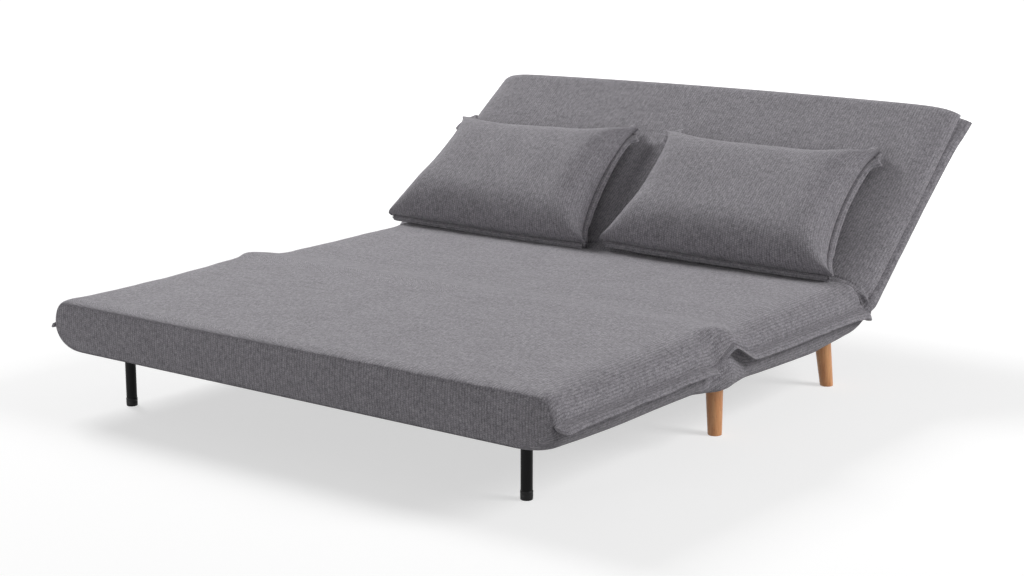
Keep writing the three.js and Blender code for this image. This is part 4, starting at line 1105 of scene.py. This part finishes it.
def knots(tree, place):
    """1 on top of each knot of the weave, falling to 0 in the gaps between them."""
    xyz = node(tree, "SeparateXYZ", _0=place)
    u = node(tree, "Math", {"operation": "DIVIDE"}, _0=(xyz, 0), _1=COLUMN)
    v = node(tree, "Math", {"operation": "DIVIDE"}, _0=(xyz, 1), _1=KNOT)
    whole = node(tree, "Math", {"operation": "FLOOR"}, _0=u)
    odd = node(tree, "Math", {"operation": "PINGPONG"}, _0=whole, _1=1.0)
    v = node(tree, "Math", {"operation": "MULTIPLY_ADD"}, _0=odd, _1=0.5, _2=v)
    from_middle = []
    for axis in (u, v):
        part = node(tree, "Math", {"operation": "FRACT"}, _0=axis)
        from_middle.append(node(tree, "Math", {"operation": "SUBTRACT"}, _0=part, _1=0.5))
    cell = node(tree, "CombineXYZ", _0=from_middle[0], _1=from_middle[1])
    far = node(tree, "VectorMath", {"operation": "LENGTH"}, _0=cell)
    return node(tree, "MapRange", {"interpolation_type": "SMOOTHSTEP"}, _0=(far, 1),
                _1=0.30, _2=0.62, _3=1.0, _4=0.0)


print(f"{1 / COLUMN:.0f} columns and {1 / KNOT:.0f} knots to the metre")

# %% [markdown]
# The colour is mixed in layers, as the yarn is: fine flecks of light and dark fibre, longer slubs
# of the same two tones, the dark gaps between the knots, and last the slow change of the dye.
# The knots and the flecks together also raise the surface a little.

# %% Woven melange cover
def woven_cover(name, light, dark, gap):
    """The cloth, from the colours of its light and dark yarn and of the gaps in the weave."""
    material, tree = new_material(name)
    place = node(tree, "UVMap", {"uv_map": CLOTH_MAP})
    knot_top = knots(tree, place)
    stretched = node(tree, "Mapping", _0=place, Scale=(1.0, 0.55, 1.0))
    fibre = node(tree, "TexNoise", Vector=stretched, Scale=FLECK, Detail=3.0, Roughness=0.7)
    slub = node(tree, "TexNoise", Vector=stretched, Scale=SLUB, Detail=3.0, Roughness=0.65)
    patch = node(tree, "TexNoise", Vector=place, Scale=DYE, Detail=3.0, Roughness=0.6)
    fibre_share = node(tree, "MapRange", _0=fibre, _1=0.38, _2=0.62, _3=0.0, _4=1.0)
    mixed = node(tree, "Mix", {"data_type": "RGBA"}, _0=fibre_share, _6=colour(dark), _7=colour(light))
    slub_share = node(tree, "MapRange", _0=slub, _1=0.36, _2=0.64, _3=0.0, _4=1.0)
    slubbed = node(tree, "Mix", {"data_type": "RGBA"}, _0=slub_share, _6=colour(dark), _7=colour(light))
    mixed = node(tree, "Mix", {"data_type": "RGBA"}, _0=0.45, _6=(mixed, 2), _7=(slubbed, 2))
    hollow = node(tree, "MapRange", _0=knot_top, _1=0.0, _2=1.0, _3=0.42, _4=0.0)
    mixed = node(tree, "Mix", {"data_type": "RGBA"}, _0=hollow, _6=(mixed, 2), _7=colour(gap))
    worn = node(tree, "MapRange", _0=patch, _1=0.3, _2=0.7, _3=0.94, _4=1.07)
    shade = node(tree, "HueSaturation", Value=worn, Color=(mixed, 2))
    height = node(tree, "Math", {"operation": "MULTIPLY_ADD"}, _0=fibre, _1=0.35, _2=knot_top)
    bump = node(tree, "Bump", Strength=0.35, Distance=0.0008, Height=height)
    rough = node(tree, "MapRange", _0=fibre, _1=0.3, _2=0.7, _3=0.82, _4=0.96)
    shader = node(tree, "BsdfPrincipled", Base_Color=shade, Roughness=rough, Normal=bump, IOR=1.5)
    shader.inputs["Specular IOR Level"].default_value = 0.25
    shader.inputs["Sheen Weight"].default_value = 0.12
    shader.inputs["Sheen Roughness"].default_value = 0.5
    finish_material(tree, shader)
    return material


LIGHT_YARN, DARK_YARN, YARN_GAP = "#a8a5aa", "#6b686e", "#3a373d"
cover_cloth = woven_cover("woven_melange_cover", LIGHT_YARN, DARK_YARN, YARN_GAP)
pillow_cloth = woven_cover("woven_melange_pillow", LIGHT_YARN, DARK_YARN, YARN_GAP)
print("cloth", cover_cloth.name, "and", pillow_cloth.name)

# %% [markdown]
# The legs are beech, turned and stained honey-brown under a satin lacquer. Grain runs up the
# leg in streaks about 8 mm wide and 114 mm long, with the short dark flecks, 2.4 by 17 mm, that
# tell beech from other woods. The lacquer keeps a soft highlight: a thin coat over a surface
# that is half matt. Its index is that of most lacquers, 1.5.

# %% Stained beech
def stained_beech():
    """Beech with the grain running up the leg."""
    material, tree = new_material("stained_beech")
    place = node(tree, "TexCoord")
    along = node(tree, "Mapping", _0=(place, 3), Scale=per_metre(7.576, 7.576, 113.6))
    streak = node(tree, "TexNoise", Vector=along, Scale=1.0, Detail=5.0, Roughness=0.6, Distortion=0.6)
    tone = node(tree, "ValToRGB", _0=streak)
    ramp = tone.color_ramp
    ramp.elements[0].position, ramp.elements[0].color = 0.30, colour("#d0854e")
    ramp.elements[1].position, ramp.elements[1].color = 0.70, colour("#eeb27c")
    fleck_place = node(tree, "Mapping", _0=(place, 3), Scale=per_metre(2.381, 2.381, 16.67))
    fleck = node(tree, "TexNoise", Vector=fleck_place, Scale=1.0, Detail=2.0)
    fleck_share = node(tree, "MapRange", _0=fleck, _1=0.60, _2=0.72, _3=0.0, _4=0.45)
    mixed = node(tree, "Mix", {"data_type": "RGBA"}, _0=fleck_share, _6=tone, _7=colour("#a5683c"))
    bump = node(tree, "Bump", Strength=0.12, Distance=0.0004, Height=streak)
    rough = node(tree, "MapRange", _0=streak, _1=0.3, _2=0.7, _3=0.34, _4=0.46)
    shader = node(tree, "BsdfPrincipled", Base_Color=(mixed, 2), Roughness=rough, Normal=bump, IOR=1.5)
    shader.inputs["Coat Weight"].default_value = 0.25
    shader.inputs["Coat Roughness"].default_value = 0.3
    finish_material(tree, shader)
    return material


finishes = {"stained_wood": stained_beech()}
print("first finish", finishes["stained_wood"].name)

# %% [markdown]
# The other finishes are all one tone with a fine grain in it, so one function makes them: two
# close colours mixed by noise, the same noise in the gloss and in the relief. What differs is
# the size of the grain, how rough the surface is and how much it mirrors.

# %% A finish with a fine grain
def grained(name, light, dark, grain, rough, bump_mm, metallic=0.0, ior=1.5, specular=0.5):
    """grain: its size in mm along x, y and z. rough: lowest and highest roughness."""
    material, tree = new_material(name)
    place = node(tree, "TexCoord")
    spread = node(tree, "Mapping", _0=(place, 3), Scale=per_metre(*grain))
    noise = node(tree, "TexNoise", Vector=spread, Scale=1.0, Detail=4.0, Roughness=0.6)
    share = node(tree, "MapRange", _0=noise, _1=0.35, _2=0.65, _3=0.0, _4=1.0)
    mixed = node(tree, "Mix", {"data_type": "RGBA"}, _0=share, _6=colour(dark), _7=colour(light))
    matt = node(tree, "MapRange", _0=noise, _1=0.35, _2=0.65, _3=rough[0], _4=rough[1])
    bump = node(tree, "Bump", Strength=0.3, Distance=bump_mm / MM, Height=noise)
    shader = node(tree, "BsdfPrincipled", Base_Color=(mixed, 2), Roughness=matt, Normal=bump)
    shader.inputs["Metallic"].default_value = metallic
    if not metallic:
        shader.inputs["IOR"].default_value = ior
    shader.inputs["Specular IOR Level"].default_value = specular
    finish_material(tree, shader)
    return material


print("a grain of 4 mm makes", per_metre(4), "cells to the metre")

# %% [markdown]
# The slats are sawn from birch plywood and left bare. Its face veneer is peeled from the log,
# which draws the grain out into long pale streaks along the slat; bare wood has no gloss.

# %% Birch plywood
finishes["plywood"] = grained("birch_plywood", "#d6bd93", "#b99a6b", (4.1667, 83.33, 4.1667),
                              (0.55, 0.75), 0.3)
print("plywood grain 4 mm wide and 83 mm long")

# %% [markdown]
# The frame tube is powder-coated. The powder melts into a skin with a pebble of about half a
# millimetre, drawn here at 1.1 mm so that it shows. It scatters light, so it looks dark grey and
# matt, with no sharp highlight.

# %% Powder-coated steel
finishes["frame_steel"] = grained("powder_coated_steel", "#3d4045", "#34373b", (1.1111,) * 3, (0.5, 0.68),
                                  0.15)
print("powder coat pebbled at 1.1 mm")

# %% [markdown]
# The folding hoop is stove enamelled in gloss black. The enamel flows out nearly smooth, with a
# slow orange peel of about 4 mm, and gives the tube one long soft highlight. In a white studio
# that highlight would turn the whole tube grey, so its specular level is turned down until the
# tube looks as black as it is.

# %% Gloss black enamel
finishes["black_tube"] = grained("gloss_black_enamel", "#060607", "#030304", (4.1667,) * 3, (0.3, 0.4), 0.03,
                                 specular=0.16)
print("enamel with an orange peel of 4 mm")

# %% [markdown]
# The foot caps are moulded polypropylene, whose index is 1.49. The mould was spark eroded, which
# leaves a grain of about 0.7 mm: dull black with a broad, weak shine, held down as on the tube.

# %% Moulded polypropylene
finishes["black_plastic"] = grained("moulded_polypropylene", "#101012", "#0b0b0c", (0.7143,) * 3, (0.36, 0.5),
                                    0.1, ior=1.49, specular=0.25)
print("polypropylene with a grain of 0.7 mm")

# %% [markdown]
# Hinges, plates, bolts and pins are pressed or turned from steel and zinc plated. Zinc is a metal,
# so it is fully metallic and keeps the default index. It settles in crystals, which give a cool
# grey a faint mottle of about 6 mm.

# %% Zinc-plated steel, and every frame piece in its finish
finishes["zinc_steel"] = grained("zinc_plated_steel", "#a9adb2", "#8f9499", (6.25,) * 3, (0.28, 0.42), 0.05,
                                 metallic=1.0)
for name, part in frame["nodes"].items():
    slot = part.data.materials[0].name.split(".")[0]
    if slot in finishes:
        part.data.materials[0] = finishes[slot]
print("finishes", sorted(finishes))

# %% [markdown]
# Each piece now gets its cloth. The long cover and its flanges keep their place in the frame and
# belong to no moving body, and the CAD cushions under them are hidden. The end panel and the
# walls at the fold each belong to one section and simply move with it.

# %% Dress the long cover, attach the end panel and the walls at the fold
def dress(piece, material):
    """Gives a piece its material."""
    piece.data.materials.append(material)
    return piece


for piece in [long_cover] + foot_flanges + seat_flanges:
    dress(piece, cover_cloth)
    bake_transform(piece)
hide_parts("foot_cushion", "seat_cushion")
dress(end_panel, cover_cloth)
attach(end_panel, "foot_section")
for piece in [foot_wall] + cheeks["foot"]:
    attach(dress(piece, cover_cloth), "foot_section")
for piece in [seat_wall] + cheeks["seat"]:
    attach(dress(piece, cover_cloth), "seat")
riding = [end_panel, foot_wall, seat_wall] + cheeks["foot"] + cheeks["seat"]
print("at the fold", 1 + len(foot_flanges + seat_flanges), "pieces bend and", len(riding), "ride")

# %% [markdown]
# The backrest cover and its flanges get their cloth and keep their place in the frame, on no
# moving body, and the CAD back cushion under them is hidden.

# %% Dress the backrest cover
for piece in [back_cover] + back_flanges:
    dress(piece, cover_cloth)
    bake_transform(piece)
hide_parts("back_cushion")
print("backrest pieces blended:", 1 + len(back_flanges))

# %% [markdown]
# Each pillow moves on its own body.

# %% Attach the pillows
pillow_top = to_frame(on_backrest(0, PILLOW_FOOT + PILLOW_HEIGHT, 80))
for word, (body, rim) in pillows.items():
    for piece in (body, rim):
        dress(piece, pillow_cloth)
        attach(piece, f"pillow_{word}")
        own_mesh(piece)
    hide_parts(f"pillow_{word}")
print("pillows attached", list(pillows))

# %% [markdown]
# The turned pieces replace their CAD nodes one for one and move with the same bodies: the wooden
# legs with the seat that they carry, the foot caps with the folding hoop.

# %% Attach the legs and caps
for (end, word), piece in legs.items():
    dress(piece, finishes["stained_wood"])
    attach(piece, "seat")
    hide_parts(f"wooden_leg_{end}_{word}")
for word, piece in caps.items():
    dress(piece, finishes["black_plastic"])
    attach(piece, "leg_hoop")
    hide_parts(f"leg_hoop_cap_{word}")
print("turned pieces attached", len(legs) + len(caps))

# %% [markdown]
# The floor is plain and matt. A painted floor under soft light is never quite white to a camera,
# so to the camera and to mirror-like surfaces it also glows, weakly near the sofa bed and fully
# from 5 m on. That takes it to white and keeps the shadow, and no light is added to the object.

# %% A pale floor
scene = bpy.context.scene
FLOOR_EDGE = 14       # metres from the middle
GLOW_NEAR, GLOW_FAR = 1.6, 5.0       # metres from the middle
floor_rows = [[(x, y, 0.0) for x in np.linspace(-FLOOR_EDGE, FLOOR_EDGE, 15)]
              for y in np.linspace(-FLOOR_EDGE, FLOOR_EDGE, 15)]
floor_cloth = np.linspace(0, 2 * FLOOR_EDGE, 15)
floor = net("studio_floor", floor_rows, floor_cloth, floor_cloth, closed=False)


def seen_directly(tree):
    """1 for camera, glossy and transmission rays, 0 for the rays that light the scene."""
    ray = node(tree, "LightPath")
    seen = node(tree, "Math", {"operation": "MAXIMUM"}, _0=(ray, 0), _1=(ray, 3))
    return node(tree, "Math", {"operation": "MAXIMUM"}, _0=seen, _1=(ray, 6))


floor_paint, tree = new_material("matt_floor_paint")
from_middle = node(tree, "VectorMath", {"operation": "LENGTH"}, _0=(node(tree, "TexCoord"), 3))
far_glow = node(tree, "MapRange", {"interpolation_type": "SMOOTHSTEP"}, _0=(from_middle, 1),
                _1=GLOW_NEAR, _2=GLOW_FAR, _3=0.60, _4=1.0)
glow = node(tree, "Math", {"operation": "MULTIPLY"}, _0=seen_directly(tree), _1=far_glow)
paint = node(tree, "BsdfDiffuse", Color=colour("#b4b4b4"))
shine = node(tree, "Emission", Color=(1, 1, 1, 1), Strength=glow)
finish_material(tree, node(tree, "AddShader", _0=paint, _1=shine))
floor.data.materials.append(floor_paint)
print("floor", 2 * FLOOR_EDGE, "m wide")

# %% [markdown]
# The walls of a white studio throw soft light back from all round, mostly from low down, while
# its ceiling is dark apart from the lamps. The world stands for them: bright at the horizon, dim
# overhead, and a quarter weaker to the right. The camera itself sees plain white.

# %% Light from the walls of the studio
WALL_LIGHT, CEILING_LIGHT = 0.86, 0.12
RIGHT_SHARE = 0.75
world = bpy.data.worlds.new("studio")
scene.world = world
world.use_nodes = True
tree = world.node_tree
tree.nodes.clear()
up = node(tree, "SeparateXYZ", _0=(node(tree, "TexCoord"), 0))
level = node(tree, "MapRange", _0=(up, 2), _1=0.0, _2=0.4, _3=WALL_LIGHT, _4=CEILING_LIGHT)
from_right = node(tree, "MapRange", {"interpolation_type": "SMOOTHSTEP"}, _0=(up, 0),
                  _1=0.0, _2=0.9, _3=1.0, _4=RIGHT_SHARE)
level = node(tree, "Math", {"operation": "MULTIPLY"}, _0=level, _1=from_right)
strength = node(tree, "Mix", {"data_type": "FLOAT"}, _0=seen_directly(tree), _2=level, _3=1.0)
sky = node(tree, "Background", Color=(1, 1, 1, 1), Strength=strength)
node(tree, "OutputWorld", _0=sky)
print("world", WALL_LIGHT, "at the horizon and", CEILING_LIGHT, "overhead")

# %% [markdown]
# Three soft boxes light the bed, as in a furniture studio. The key box stands high on the left
# and brightens the tops; a slightly larger one on the right lights the rolled edges and keeps
# the right side from going dark; a weak one low in front only opens the shadow under the foot
# end. Large boxes give broad, pale shadows.

# %% Soft boxes
AIM = (0, -0.1, 0.2)      # the middle of the sofa bed


def soft_box(name, place, size, power):
    """A square area lamp, size in metres and power in watts."""
    light = bpy.data.lights.new(name, "AREA")
    light.shape = "SQUARE"
    light.size = size
    light.energy = power
    lamp = in_scene(name, light)
    lamp.location = place
    lamp.rotation_euler = (Vector(AIM) - lamp.location).to_track_quat("-Z", "Y").to_euler()


soft_box("key_box", (-6.3, 1.6, 5.0), 2.4, 488)
soft_box("front_box", (-1.4, -4.2, 0.8), 1.5, 26)
soft_box("side_box", (5.5, 1.75, 4.1), 2.7, 285)

# %% [markdown]
# The camera stands at a grown-up's chest height, off the right-hand corner of the foot end, and
# looks a little down, which shows the tops, the foot end and one side at once. It is nearly five
# metres away with a long lens, so that the edges hardly converge.

# %% Camera
LOOK_DOWN, LOOK_ROUND = 12.237, 36.931      # degrees
eye = bpy.data.cameras.new("camera")
eye.lens = 67.83
camera = in_scene("camera", eye)
camera.location = (2.77107, -3.76661, 1.23326)
camera.rotation_euler = (math.radians(90 - LOOK_DOWN), 0, math.radians(LOOK_ROUND))
scene.camera = camera
scene.view_settings.view_transform = "Standard"
print(f"camera {camera.location.z:.2f} m up with a {eye.lens:.0f} mm lens")
